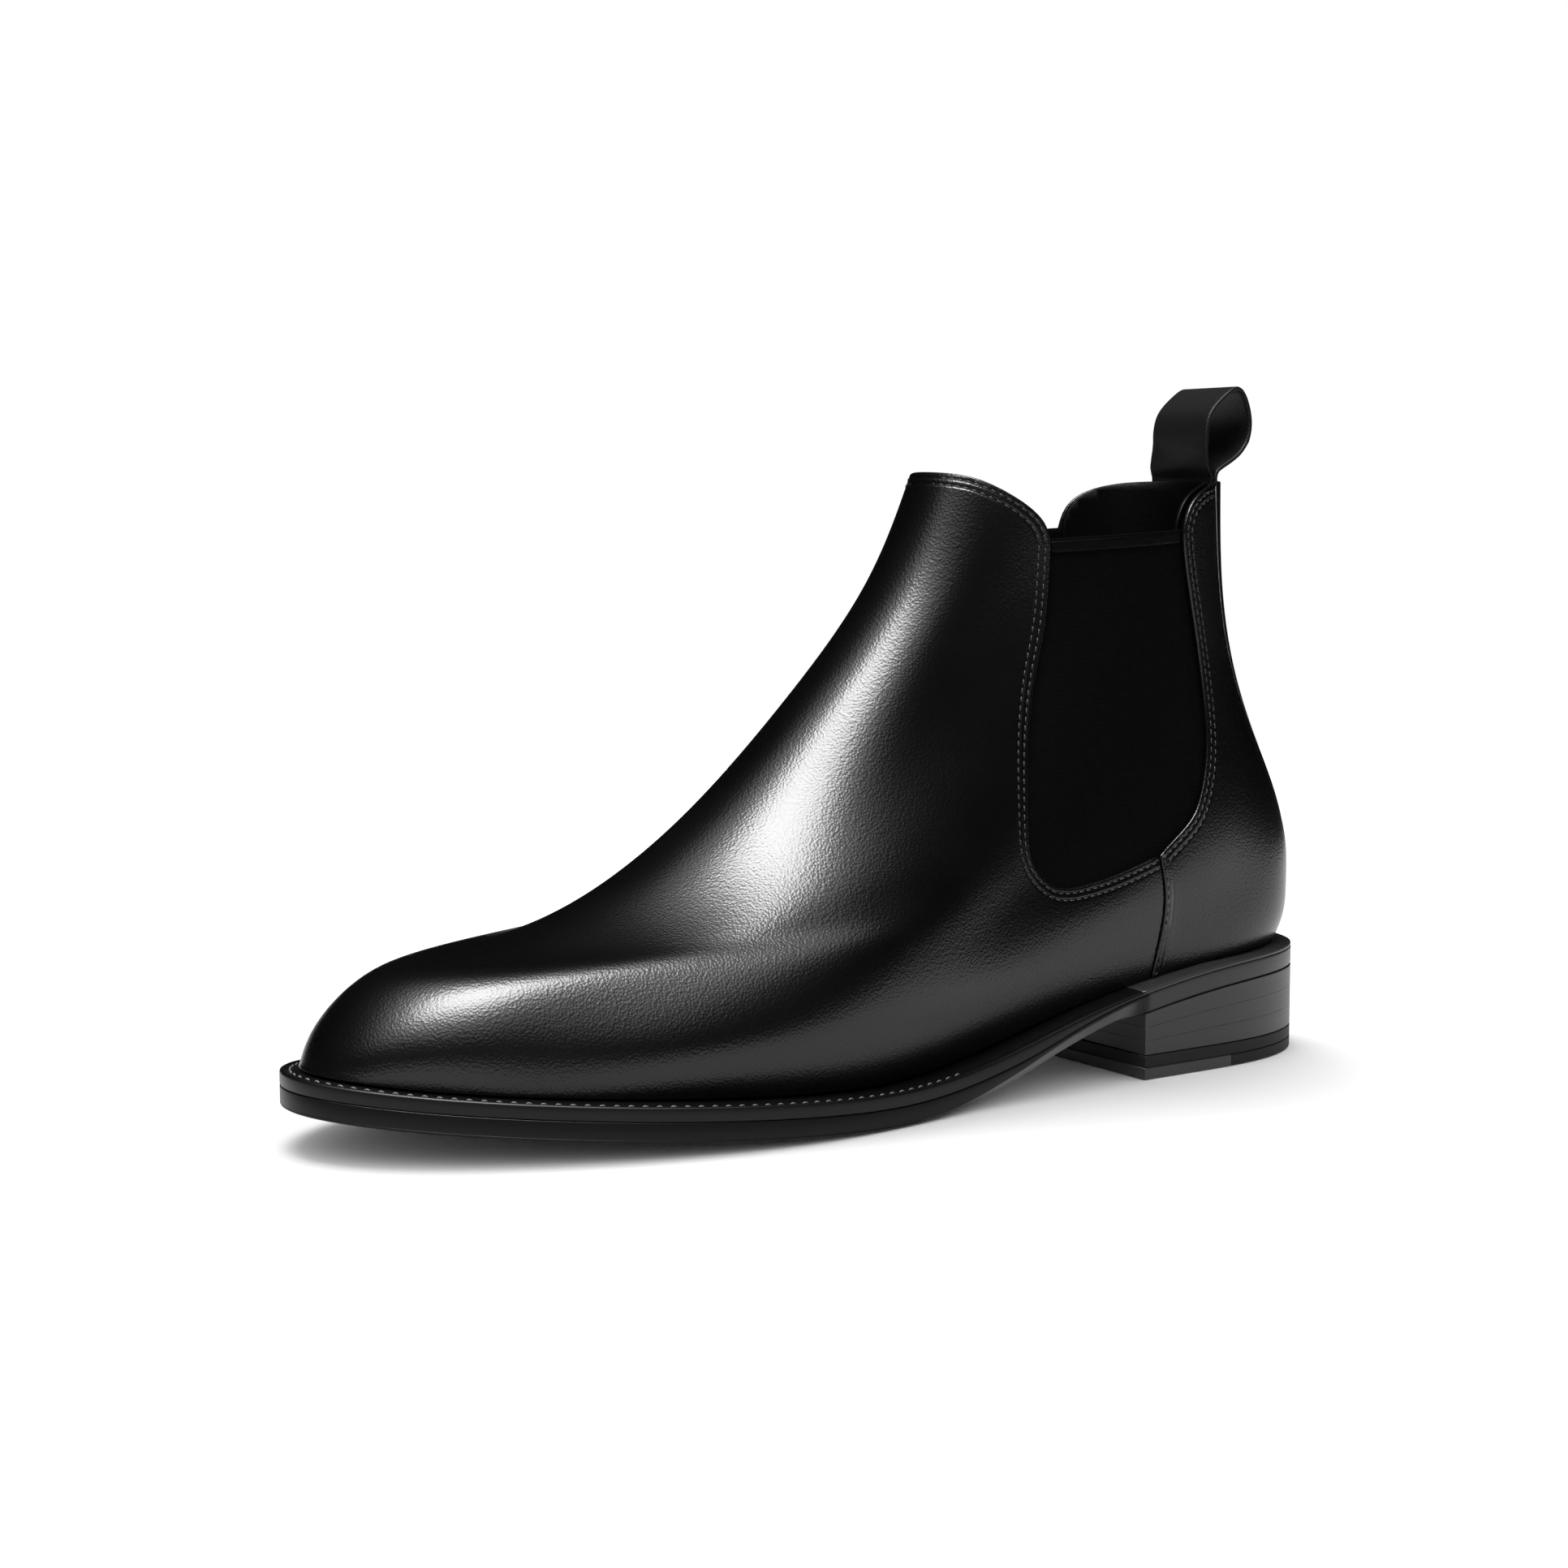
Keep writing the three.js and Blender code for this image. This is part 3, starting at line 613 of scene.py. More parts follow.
def woven_elastic():
    """Elastic webbing: rubber cords covered with fine yarn, matt, in close upright ribs."""
    material, tree, shader = new_material("woven_elastic", "#030303", 0.9, specular=0.03)
    place = node(tree, "ShaderNodeTexCoord").outputs["Object"]
    cords = node(
        tree, "ShaderNodeTexWave", {"Vector": place}, bands_direction="Y",
        Scale=ribs(ELASTIC_RIB), Distortion=0.3,
    )
    picks = node(
        tree, "ShaderNodeTexWave", {"Vector": place}, bands_direction="Z",
        Scale=ribs(ELASTIC_PICK), Distortion=0.6,
    )
    lint = node(tree, "ShaderNodeTexNoise", {"Vector": place}, Scale=grains(YARN_LINT), Detail=2.0)
    weave = node(
        tree, "ShaderNodeMath", {0: cords.outputs["Fac"], 1: picks.outputs["Fac"]}, operation="MULTIPLY"
    )
    tone = node(
        tree, "ShaderNodeMix", {"Factor": lint.outputs["Fac"]}, data_type="RGBA",
        A=linear("#020202"), B=linear("#060606"),
    )
    tree.links.new(tone.outputs["Result"], shader.inputs["Base Color"])
    bump = node(
        tree, "ShaderNodeBump", {"Height": weave.outputs[0]}, Strength=0.25, Distance=GRAIN_RELIEF * MM
    )
    fuzz = node(
        tree, "ShaderNodeBump", {"Height": lint.outputs["Fac"], "Normal": bump.outputs["Normal"]},
        Strength=0.25, Distance=0.3 * MM,
    )
    tree.links.new(fuzz.outputs["Normal"], shader.inputs["Normal"])
    return material


def loop_webbing():
    """Cotton twill tape: fine slanted ribs with a soft satin sheen."""
    material, tree, shader = new_material("loop_webbing", "#060606", 0.5, specular=0.2)
    place = node(tree, "ShaderNodeTexCoord").outputs["Object"]
    twill = node(
        tree, "ShaderNodeTexWave", {"Vector": place}, bands_direction="DIAGONAL",
        Scale=ribs(TWILL_RIB, slanted=True), Distortion=0.4,
    )
    lint = node(tree, "ShaderNodeTexNoise", {"Vector": place}, Scale=grains(COTTON_LINT), Detail=2.0)
    tone = node(
        tree, "ShaderNodeMix", {"Factor": lint.outputs["Fac"]}, data_type="RGBA",
        A=linear("#040404"), B=linear("#080808"),
    )
    tree.links.new(tone.outputs["Result"], shader.inputs["Base Color"])
    bump = node(tree, "ShaderNodeBump", {"Height": twill.outputs["Fac"]}, Strength=0.2, Distance=0.15 * MM)
    tree.links.new(bump.outputs["Normal"], shader.inputs["Normal"])
    shader.inputs["Sheen Weight"].default_value = 0.04
    shader.inputs["Sheen Roughness"].default_value = 0.4
    return material


def edge_leather(name, colour, roughness, lines=0.15, specular=0.5, reflection_and_heel_colour=None):
    """Sole leather cut across its fibres, inked, waxed and burnished: a smooth edge with faint level lines.

    The colour given last is mixed in where a vertex attribute asks: a painted reflection of the white floor
    on the waist's bevel, and a paler rim under the heel.
    """
    material, tree, shader = new_material(name, colour, roughness, specular=specular)
    place = node(tree, "ShaderNodeTexCoord").outputs["Object"]
    layered = node(
        tree, "ShaderNodeMapping", {"Vector": place}, vector_type="POINT",
        Scale=(grains(FIBRE_RUN), grains(FIBRE_RUN), grains(FIBRE_LAYER)),
    )
    fibres = node(tree, "ShaderNodeTexNoise", {"Vector": layered.outputs["Vector"]}, Scale=1.0, Detail=4.0)
    rough = node(
        tree, "ShaderNodeMapRange", {"Value": fibres.outputs["Fac"]},
        To_Min=roughness - 0.03, To_Max=roughness + 0.05,
    )
    tree.links.new(rough.outputs["Result"], shader.inputs["Roughness"])
    bump = node(tree, "ShaderNodeBump", {"Height": fibres.outputs["Fac"]}, Strength=lines, Distance=0.3 * MM)
    tree.links.new(bump.outputs["Normal"], shader.inputs["Normal"])
    if reflection_and_heel_colour is not None:
        # Painted reflection of the white floor on the waist's bevel, and a paler rim under the heel, read
        # from a vertex attribute.
        waist = node(tree, "ShaderNodeAttribute", attribute_name="floor_reflection_and_heel_tone").outputs["Fac"]
        tone = node(
            tree, "ShaderNodeMix", {"Factor": waist}, data_type="RGBA", A=linear(colour), B=linear(reflection_and_heel_colour)
        )
        tree.links.new(tone.outputs["Result"], shader.inputs["Base Color"])
    return material


def waxed_thread(name, colour):
    """Waxed linen thread, twisted from fine plies: a dull gloss broken by the twist."""
    material, tree, shader = new_material(name, colour, 0.55)
    place = node(tree, "ShaderNodeTexCoord").outputs["Object"]
    plies = node(
        tree, "ShaderNodeTexWave", {"Vector": place}, bands_direction="DIAGONAL",
        Scale=ribs(THREAD_TWIST, slanted=True),
    )
    bump = node(tree, "ShaderNodeBump", {"Height": plies.outputs["Fac"]}, Strength=0.4, Distance=0.1 * MM)
    tree.links.new(bump.outputs["Normal"], shader.inputs["Normal"])
    return material


def bare_metal(name, dark, light, roughness):
    """Drawn or rolled metal, a little dulled by handling: two close tones and fine scratches."""
    material, tree, shader = new_material(name, dark, roughness, metallic=1.0)
    place = node(tree, "ShaderNodeTexCoord").outputs["Object"]
    tarnish = node(tree, "ShaderNodeTexNoise", {"Vector": place}, Scale=grains(SCRATCH), Detail=4.0)
    tone = node(
        tree, "ShaderNodeMix", {"Factor": tarnish.outputs["Fac"]}, data_type="RGBA",
        A=linear(dark), B=linear(light),
    )
    tree.links.new(tone.outputs["Result"], shader.inputs["Base Color"])
    rough = node(
        tree, "ShaderNodeMapRange", {"Value": tarnish.outputs["Fac"]},
        To_Min=roughness - 0.08, To_Max=roughness + 0.12,
    )
    tree.links.new(rough.outputs["Result"], shader.inputs["Roughness"])
    scratches = node(
        tree, "ShaderNodeBump", {"Height": tarnish.outputs["Fac"]}, Strength=0.1, Distance=0.1 * MM
    )
    tree.links.new(scratches.outputs["Normal"], shader.inputs["Normal"])
    return material


def white_paper():
    """Matt white background paper with a hardly visible tooth."""
    material, tree, shader = new_material("white_paper", "#f7f7f7", 0.95, specular=0.0)
    place = node(tree, "ShaderNodeTexCoord").outputs["Object"]
    tooth = node(tree, "ShaderNodeTexNoise", {"Vector": place}, Scale=grains(PAPER_TOOTH), Detail=2.0)
    tone = node(
        tree, "ShaderNodeMix", {"Factor": tooth.outputs["Fac"]}, data_type="RGBA",
        A=linear("#f6f6f6"), B=linear("#f8f8f8"),
    )
    tree.links.new(tone.outputs["Result"], shader.inputs["Base Color"])
    return material


CALF = polished_calf()
LINING_CALF = plain_grain("lining_calf", "#030303", "#060606", 0.4, 1.11, 0.2, specular=0.1)
SOCK_CALF = plain_grain("sock_calf", "#171615", "#201f1d", 0.5, 1.11, 0.25, specular=0.3)
ELASTIC_WEB = woven_elastic()
TAPE_WEB = loop_webbing()
BINDING = plain_grain("binding_tape", "#020202", "#050505", 0.42, 0.714, 0.2, specular=0.06)
BOARD = plain_grain("fibre_board", "#2b2621", "#3a332b", 0.85, 2.0, 0.5)
INSOLE_HIDE = plain_grain("insole_hide", "#94704a", "#b08a60", 0.75, 2.0, 0.4)
CORK = plain_grain("granulated_cork", "#5d4226", "#a98352", 0.9, 2.86, 0.9)
WELT_EDGE = edge_leather("welt_edge", "#080909", 0.36, lines=0.02, specular=0.22)
# The sole edge's pale second colour is a painted reflection of the white floor on the waist's bevel; a share
# of it also makes the rim under the heel paler.
SOLE_EDGE = edge_leather("sole_edge", "#060606", 0.36, lines=0.02, specular=0.2, reflection_and_heel_colour="#5c5d5e")
HEEL_EDGE = edge_leather("heel_edge", "#212223", 0.42, lines=0.006)
# A paler copy of the heel's edge leather: painted light, lifting the heel seat where it falls in shade and
# renders darker than the lifts.
LIGHTENED_SEAT_EDGE = edge_leather("heel_seat_edge", "#292a2b", 0.42, lines=0.006)
RUBBER = plain_grain("heel_rubber", "#080808", "#0c0c0c", 0.6, 1.43, 0.25, specular=0.3)
INSERT_HIDE = edge_leather("insert_hide", "#2c2d2e", 0.45, lines=0.05)
BRASS = bare_metal("heel_pin_brass", "#a8843c", "#cfae62", 0.32)
STEEL = bare_metal("shank_steel", "#6d7073", "#8d9093", 0.34)
BLACK_THREAD = waxed_thread("black_thread", "#222323")
GREY_THREAD = waxed_thread("grey_thread", "#747573")

# ---- Upper ----
gore_front = smooth_line(GORE_FRONT, 40)
gore_back = smooth_line(GORE_BACK, 30)
seam = smooth_line(SEAM, 14)
collar_front = smooth_line(COLLAR_FRONT, 14)
collar_back = smooth_line(COLLAR_BACK, 14)
# The calf before and behind the gore and the side seam, with a hair's gap left along the seam.
vamp_outline = np.vstack([
    collar_front, [(FAR, collar_front[-1][1]), (FAR, -FAR), (seam[-1][0], -FAR)],
    seam[::-1], gore_front[-2:0:-1],
])
quarter_outline = np.vstack([
    collar_back, [(-FAR, collar_back[-1][1]), (-FAR, -FAR), (seam[-1][0] - 0.1, -FAR)],
    seam[::-1] - (0.1, 0), gore_back[1:-1],
])


def offset_line(line, by):
    """The line moved sideways by a distance, to its left."""
    step = np.gradient(line, axis=0)
    step /= np.linalg.norm(step, axis=1, keepdims=True)
    return line + np.stack([-step[:, 1], step[:, 0]], 1) * by


gore_line = np.vstack([gore_front, gore_back[1:]])
gore_with_laps = offset_line(gore_line, GORE_LAP)

# How far round the last each piece can reach, as angles.
FRONT_TURN = (0.9, FULL_TURN - 0.9)
TOE_TURN = (1.7, FULL_TURN - 1.7)
QUARTER_TURN = (0, 1.7)
REAR_TURN = (-1.7, 1.7)
SIDE_TURN = (0.6, 2.4)
COUNTER_TURN = (-1.3, 1.3)
STRIP_TURN = (-0.95, 0.95)
TAILS_TURN = (-0.8, 0.8)

# The grid that each piece is cut from, as steps of angle and level.
LINING_GRID = (0.028, 0.014)
GORE_GRID = (0.02, 0.01)
BOARD_GRID = (0.03, 0.015)

# How far the rims are rolled over, in mm.
CALF_ROLL = 0.4
STRIP_ROLL = 0.3
SOFT_ROLL = 0.25
BOARD_ROLL = 0.2


def seam_lift(p):
    """The quarter laps over the vamp, so its front edge stands up by about half its thickness."""
    distance = distance_to_line(p[..., 1], p[..., 2], seam)
    return SEAM_RISE * np.clip(1 - distance / SEAM_RISE_WIDTH, 0, 1) ** 2


def other_side(turn):
    """The same reach on the medial side."""
    return (FULL_TURN - turn[1], FULL_TURN - turn[0])


def make_upper():
    """Vamp, quarters and back strip, each rolled at its cut edges, and the two linings."""
    vamp = panel("vamp_calf", CALF, FRONT_TURN, side_view(vamp_outline), 0, LEATHER, CALF_ROLL,
                 seams=[gore_front, collar_front])
    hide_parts("vamp")
    for side, turn in (("lateral", QUARTER_TURN), ("medial", other_side(QUARTER_TURN))):
        quarter = panel(f"quarter_{side}_calf", CALF, turn, side_view(quarter_outline), 0, LEATHER, CALF_ROLL,
                        lift=seam_lift, seams=[gore_back, collar_back, seam])
        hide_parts(f"quarter_{side}")
    tapered, under_collar = rear_view(STRIP), side_view(quarter_outline)
    strip = panel("back_strip_calf", CALF, STRIP_TURN, lambda p: np.minimum(tapered(p), under_collar(p)),
                  -STRIP_STANDS, STRIP_THICK, STRIP_ROLL, spacing=(0.02, 0.009))
    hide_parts("back_strip")
    lining_front = panel("vamp_lining_calf", LINING_CALF, FRONT_TURN, side_view(vamp_outline), LINING_DEPTH,
                         LINING, SOFT_ROLL, spacing=LINING_GRID)
    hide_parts("vamp_lining")
    lining_back = panel("quarter_lining_calf", LINING_CALF, REAR_TURN, side_view(quarter_outline),
                        LINING_DEPTH, LINING, SOFT_ROLL, spacing=LINING_GRID)
    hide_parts("quarter_lining")


def make_gores():
    """The elastic of each side, lapped under the leather, and the binding over its top edge."""
    front_top, back_top = gore_front[0], gore_back[-1]
    binding_outline = np.array([
        (front_top[0] - FIT, front_top[1]), (front_top[0] - FIT, front_top[1] - BINDING_HEIGHT),
        (back_top[0] + FIT, back_top[1] - BINDING_HEIGHT), (back_top[0] + FIT, back_top[1]),
    ])
    for side, turn in (("lateral", SIDE_TURN), ("medial", other_side(SIDE_TURN))):
        gore = panel(f"gore_{side}_elastic", ELASTIC_WEB, turn, side_view(gore_with_laps), ELASTIC_DEPTH,
                     ELASTIC, SOFT_ROLL, levels=(0.2, 1), spacing=GORE_GRID)
        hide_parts(f"gore_{side}")
        binding = panel(f"gore_binding_{side}_tape", BINDING, turn, side_view(binding_outline), BINDING_DEPTH,
                        BINDING_THICK, SOFT_ROLL, levels=(0.8, 1), spacing=(0.015, 0.004))
        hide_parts(f"gore_binding_{side}")


def make_stiffeners():
    """What lies between leather and lining: counter, toe puff, topline tape and the loop's sewn-in tails."""
    counter = panel("heel_counter_board", BOARD, COUNTER_TURN, side_view(COUNTER), ELASTIC_DEPTH, ELASTIC,
                    BOARD_ROLL, levels=(0, 0.6), spacing=BOARD_GRID)
    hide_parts("heel_counter")
    puff_outline = [(TOE_PUFF_FROM, -FAR), (FAR, -FAR), (FAR, FAR), (TOE_PUFF_FROM, FAR)]
    puff = panel("toe_puff_board", BOARD, TOE_TURN, side_view(puff_outline), ELASTIC_DEPTH, ELASTIC,
                 BOARD_ROLL, levels=(0, 0.6), spacing=BOARD_GRID)
    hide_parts("toe_puff")
    tape = panel("topline_tape_board", BOARD, TOE_TURN, side_view(TOPLINE_TAPE), ELASTIC_DEPTH, ELASTIC,
                 BOARD_ROLL, levels=(0.85, 1), spacing=(0.03, 0.01))
    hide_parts("topline_tape")
    tails = panel("pull_loop_tails_tape", TAPE_WEB, TAILS_TURN, rear_view(TAILS), ELASTIC_DEPTH, ELASTIC,
                  BOARD_ROLL, levels=(0.8, 1), spacing=(0.04, 0.01))
    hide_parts("pull_loop_tails")


# ---- Sole ----
reach_lateral = natural_spline(REACH_STATIONS, REACH_LATERAL)
reach_medial = natural_spline(REACH_STATIONS, REACH_MEDIAL)


def smoothstep(x, low, high):
    """0 up to low, 1 from high on, and a smooth rise between."""
    s = np.clip((x - low) / (high - low), 0, 1)
    return s * s * (3 - 2 * s)


def reach(angle):
    """How far the sole's edge stands out from the feather line."""
    t = (1 - np.cos(angle)) / 2
    lean = (1 + np.sin(angle)) / 2
    return reach_lateral(t) * lean + reach_medial(t) * (1 - lean)


def welt_thickness(forward):
    """The welt is shaved thin at the heel breast and reaches its full thickness before the ball."""
    thickening = smoothstep(forward, HEEL_LENGTH, HEEL_LENGTH + WELT_THICKENS_OVER)
    return WELT_AT_WAIST + (WELT - WELT_AT_WAIST) * thickening


def welt_top(forward):
    """The welt lies just under the feather line."""
    return feather(forward) - FIT


def outsole_top(forward):
    """The outsole lies just under the welt."""
    return welt_top(forward) - welt_thickness(forward) - FIT


def at_edge(angle, out, height):
    """Points beside the feather line: out from it by a distance, at a height."""
    base = last_surface(angle, 0.0)
    normal = last_normal(angle, 0.0)
    points = base + normal * np.asarray(out)[..., None]
    points[..., 2] = height
    return points


def sweep(name, material, angles, profile):
    """A closed section carried along the feather line. profile lists (out, height) for all angles."""
    rings = [at_edge(angles, out, height) for out, height in profile]
    n, m = len(angles), len(rings)
    faces = []
    for i in range(n - 1):
        for k in range(m):
            q = (k + 1) % m
            faces.append([k * n + i, q * n + i, q * n + i + 1, k * n + i + 1])
    faces.append([k * n for k in reversed(range(m))])
    faces.append([k * n + n - 1 for k in range(m)])
    return mesh_piece(name, np.concatenate(rings), faces, material)


# Faces across a plate's underside and top side.
CROSS = 14


def plate(name, material, count, profile):
    """A plate the shape of the sole.

    profile gives (out, height) from the underside's rim to the top side's rim.
    """
    angles = np.arange(count) / count * FULL_TURN
    rings = [at_edge(angles, out, height) for out, height in profile(angles)]
    vertices = np.concatenate(rings).tolist()
    faces = []
    m = len(rings)
    for i in range(count):
        j = (i + 1) % count
        for k in range(m - 1):
            faces.append([k * count + i, (k + 1) * count + i, (k + 1) * count + j, k * count + j])
    half = count // 2
    for ring, up in ((0, False), (m - 1, True)):
        start = ring * count
        rows = []
        for i in range(half + 1):
            a, b = start + i, start + (count - i) % count
            if a == b:
                rows.append([a] * (CROSS + 1))
                continue
            row = [a]
            for c in range(1, CROSS):
                s = c / CROSS
                row.append(len(vertices))
                vertices.append([vertices[a][d] * (1 - s) + vertices[b][d] * s for d in range(3)])
            rows.append(row + [b])
        for r0, r1 in zip(rows[:-1], rows[1:]):
            for c in range(CROSS):
                quad = [r0[c], r0[c + 1], r1[c + 1], r1[c]]
                face = list(dict.fromkeys(quad if up else quad[::-1]))
                if len(face) > 2:
                    faces.append(face)
    return mesh_piece(name, np.array(vertices), faces, material)


SOLE_STEPS = 480
WELT_STEPS = 420
# How much paler than the waxed edge the sole is under the heel, from 0 to 1.
HEEL_TONE = 0.26
BEVEL_HEIGHT = 4.3
BEVEL_FROM = 158
BEVEL_GROWS_OVER = 55
# The bevel eases in from the heel breast between these distances.
BREAST_EASE = (1, 9)
# The outsole's rim: the points of its section that show at the side, and the ones on its bevel.
SIDE_POINTS = range(1, 10)
BEVEL_POINTS = (3, 4, 5)
# What keeps the sole's layers from touching in one plane.
GLUE_LINE = 0.03
SEAT_SOFT = 0.4
SEAT_INSET = 0.05
# The heel seat runs this far past the breast, to meet the welt's ends.
SEAT_PAST_BREAST = 0.9


def waist_bevel(forward):
    """How far up the sole edge is bevelled: none at the ball, most of it in the waist."""
    return BEVEL_HEIGHT * smoothstep(BEVEL_FROM - forward, 0, BEVEL_GROWS_OVER)


def outsole_section(angles):
    """The outsole's rim from its underside up: bevelled in the waist, upright elsewhere."""
    forward = last_surface(angles, 0.0)[:, 1]
    out, top, bevel = reach(angles), outsole_top(forward), waist_bevel(forward)
    low = top - OUTSOLE
    slope = 0.75 * bevel * smoothstep(forward, HEEL_LENGTH + BREAST_EASE[0], HEEL_LENGTH + BREAST_EASE[1])
    return [
        (out - 12, low), (out - 1.6 - slope, low), (out - 0.7 - slope, low + 0.12),
        (out - 0.2 - slope, low + 0.45), (out - slope * 0.93, low + 0.9 + bevel * 0.03),
        (out - slope * 0.05, low + 0.9 + bevel * 0.8), (out, low + 0.95 + bevel * 0.81), (out, top - 0.15),
        (out - 0.04, top - 0.05), (out - 0.15, top), (out - 12, top),
    ]


def make_outsole():
    """The outsole, with a painted reflection of the white floor on its bevel in the waist, and its rim under
    the heel a little paler than the rest.
    """
    outsole = plate("outsole_leather", SOLE_EDGE, SOLE_STEPS, outsole_section)
    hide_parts("outsole")
    forward = last_surface(np.arange(SOLE_STEPS) / SOLE_STEPS * FULL_TURN, 0.0)[:, 1]
    eased = smoothstep(forward, HEEL_LENGTH + BREAST_EASE[0] + 1, HEEL_LENGTH + BREAST_EASE[1])
    # The waist's bevel takes a painted reflection of the white floor, mixed in by this share.
    bevel_floor_reflection = np.clip(waist_bevel(forward) / 2, 0, 1) * eased
    in_heel = HEEL_TONE * (forward < HEEL_LENGTH)
    reflection_and_heel_mask = np.zeros(len(outsole.data.vertices))
    for point in SIDE_POINTS:
        paler = in_heel + (bevel_floor_reflection if point in BEVEL_POINTS else 0)
        reflection_and_heel_mask[point * SOLE_STEPS:(point + 1) * SOLE_STEPS] = paler
    store(outsole, "floor_reflection_and_heel_tone", reflection_and_heel_mask)


def make_welt():
    """The welt from breast to breast round the toe, with the stitching channel on top, and the heel seat."""
    lateral, medial = angle_at_forward(HEEL_LENGTH)
    run = np.linspace(lateral, FULL_TURN - medial, WELT_STEPS)
    forward = last_surface(run, 0.0)[:, 1]
    out, top = reach(run), welt_top(forward)
    low = outsole_top(forward) + GLUE_LINE
    r = np.minimum(0.5, welt_thickness(forward) * 0.3)
    channel = smoothstep(forward, HEEL_LENGTH + 6, HEEL_LENGTH + 40)
    inner = np.full_like(out, -WELT_DEPTH)
    welt = sweep("welt_leather", WELT_EDGE, run, [
        (inner, low), (out - 0.5, low), (out - 0.15, low + r * 0.3), (out, low + r), (out, top - r * 1.2),
        (out - 0.12, top - r * 0.45), (out - 0.5, top - 0.02), (out - 1.0, top),
        (out - 1.5, top - 0.12 * channel), (out - 2.0, top - 0.4 * channel),
        (out - 2.9, top - 0.45 * channel), (out - 3.6, top - 0.3 * channel),
        (np.full_like(out, -1), top - 0.3 * channel), (inner, top),
    ])
    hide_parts("welt")
    heel_block("heel_seat_leather", LIGHTENED_SEAT_EDGE, lambda f: outsole_top(f) + GLUE_LINE,
               lambda f: welt_top(f) - 0.02, SEAT_SOFT, "heel_seat", inset=SEAT_INSET,
               to_forward=HEEL_LENGTH + SEAT_PAST_BREAST)


HEEL_STEPS = 150
INSERT_STEPS = 40


def angle_at_forward(forward):
    """Angles on the lateral and medial feather line where it passes this place."""
    angles = np.linspace(0.2, 2.6, 600)
    found = []
    for sign in (1, -1):
        edge = at_edge(sign * angles, reach(sign * angles), 0.0)
        found.append(float(np.interp(forward, edge[:, 1], angles)))
    return found


def heel_outline(inset, to_forward):
    """Closed heel outline, (lateral, forward), with the breast straight across."""
    lateral, medial = angle_at_forward(to_forward)
    angles = np.linspace(lateral, -medial, HEEL_STEPS)
    arc = at_edge(angles, reach(angles) - inset, 0.0)[:, :2]
    arc[:, 1] = np.minimum(arc[:, 1], to_forward - inset)
    return arc


# A loop this far from each softened rim keeps the heel's wall flat in the light.
WALL_HOLD = 0.25
BREAST_CORNER = math.radians(50)


def heel_block(name, material, low, top, soft, node_name, inset=0.0, from_forward=None,
               to_forward=HEEL_LENGTH):
    """A heel-shaped layer between two height curves, its rims softened by soft."""
    insets = [soft, soft * 0.3, 0, 0, 0, 0, soft * 0.3, soft]
    raise_by = [0, soft * 0.3, soft, soft + WALL_HOLD, -soft - WALL_HOLD, -soft, -soft * 0.3, 0]
    if from_forward is None:
        loops = [heel_outline(inset + extra, to_forward) for extra in insets]
    else:
        loops = [front_part(inset + extra, from_forward, to_forward) for extra in insets]
    n, last_loop, half = len(loops[0]), len(loops) - 1, len(loops) // 2
    vertices = []
    for k, loop in enumerate(loops):
        base = low(loop[:, 1]) if k < half else top(loop[:, 1])
        vertices.append(np.column_stack([loop, base + raise_by[k]]))
    vertices = np.concatenate(vertices)
    faces = []
    for k in range(last_loop):
        for i in range(n):
            j = (i + 1) % n
            faces.append([k * n + i, k * n + j, (k + 1) * n + j, (k + 1) * n + i])
    faces.append(list(reversed(range(n))))
    faces.append([last_loop * n + i for i in range(n)])
    piece = mesh_piece(name, vertices, faces, material)
    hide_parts(node_name)
    split = piece.modifiers.new("breast edge", "EDGE_SPLIT")
    split.split_angle = BREAST_CORNER


def front_part(inset, from_forward, to_forward):
    """The heel outline's front stretch only, closed across behind."""
    lateral_to, medial_to = angle_at_forward(to_forward)
    lateral_from, medial_from = angle_at_forward(from_forward)
    sides = []
    for a, b in ((lateral_to, lateral_from), (-medial_from, -medial_to)):
        angles = np.linspace(a, b, INSERT_STEPS)
        arc = at_edge(angles, reach(angles) - inset, 0.0)[:, :2]
        arc[:, 1] = np.clip(arc[:, 1], from_forward + inset, to_forward - inset)
        sides.append(arc)
    return np.concatenate(sides)


LIFTS = 3
LIFT_SOFT = 0.03
TOP_LIFT_SOFT = 0.12
TREAD_SOFT = 0.3
# Half the gap between the top lift's full layer and the tread under it.
TREAD_GAP = 0.06
INSERT_GAP = 0.15


def lift_boundary(i):
    """The height of the joint over lift i, or of the top lift for 0, in equal shares up to the outsole."""
    lowest = TOP_LIFT + FIT
    return lambda f: lowest + (outsole_top(f) - OUTSOLE - lowest) * i / LIFTS


def level_at(z):
    """A level boundary, for a layer that doesn't follow the sole's curve."""
    return lambda f: np.full_like(f, z)


def make_heel():
    """Three leather lifts, and the top lift of a full layer over a rubber tread with a front insert."""
    for i in range(LIFTS):
        heel_block(f"heel_lift_{i + 1}_leather", HEEL_EDGE, lift_boundary(i), lift_boundary(i + 1), LIFT_SOFT,
                   f"heel_lift_{i + 1}")
    half = TOP_LIFT / 2
    heel_block("top_lift_base_rubber", RUBBER, level_at(half + TREAD_GAP), level_at(TOP_LIFT), TOP_LIFT_SOFT,
               "top_lift_base")
    heel_block("top_lift_rear_rubber", RUBBER, level_at(0.0), level_at(half - TREAD_GAP), TREAD_SOFT,
               "top_lift_rubber", to_forward=INSERT_FROM - INSERT_GAP)
    heel_block("top_lift_front_insert", INSERT_HIDE, level_at(0.0), level_at(half - TREAD_GAP), TREAD_SOFT,
               "top_lift_insert", from_forward=INSERT_FROM)


SLAB_STEPS = 200
SLAB_SOFT = 0.3
SLAB_RIM = 4
# How far the two boards stay inside the lining at their rims.
INSOLE_INSET = 2
SOCK_INSET = 2.6


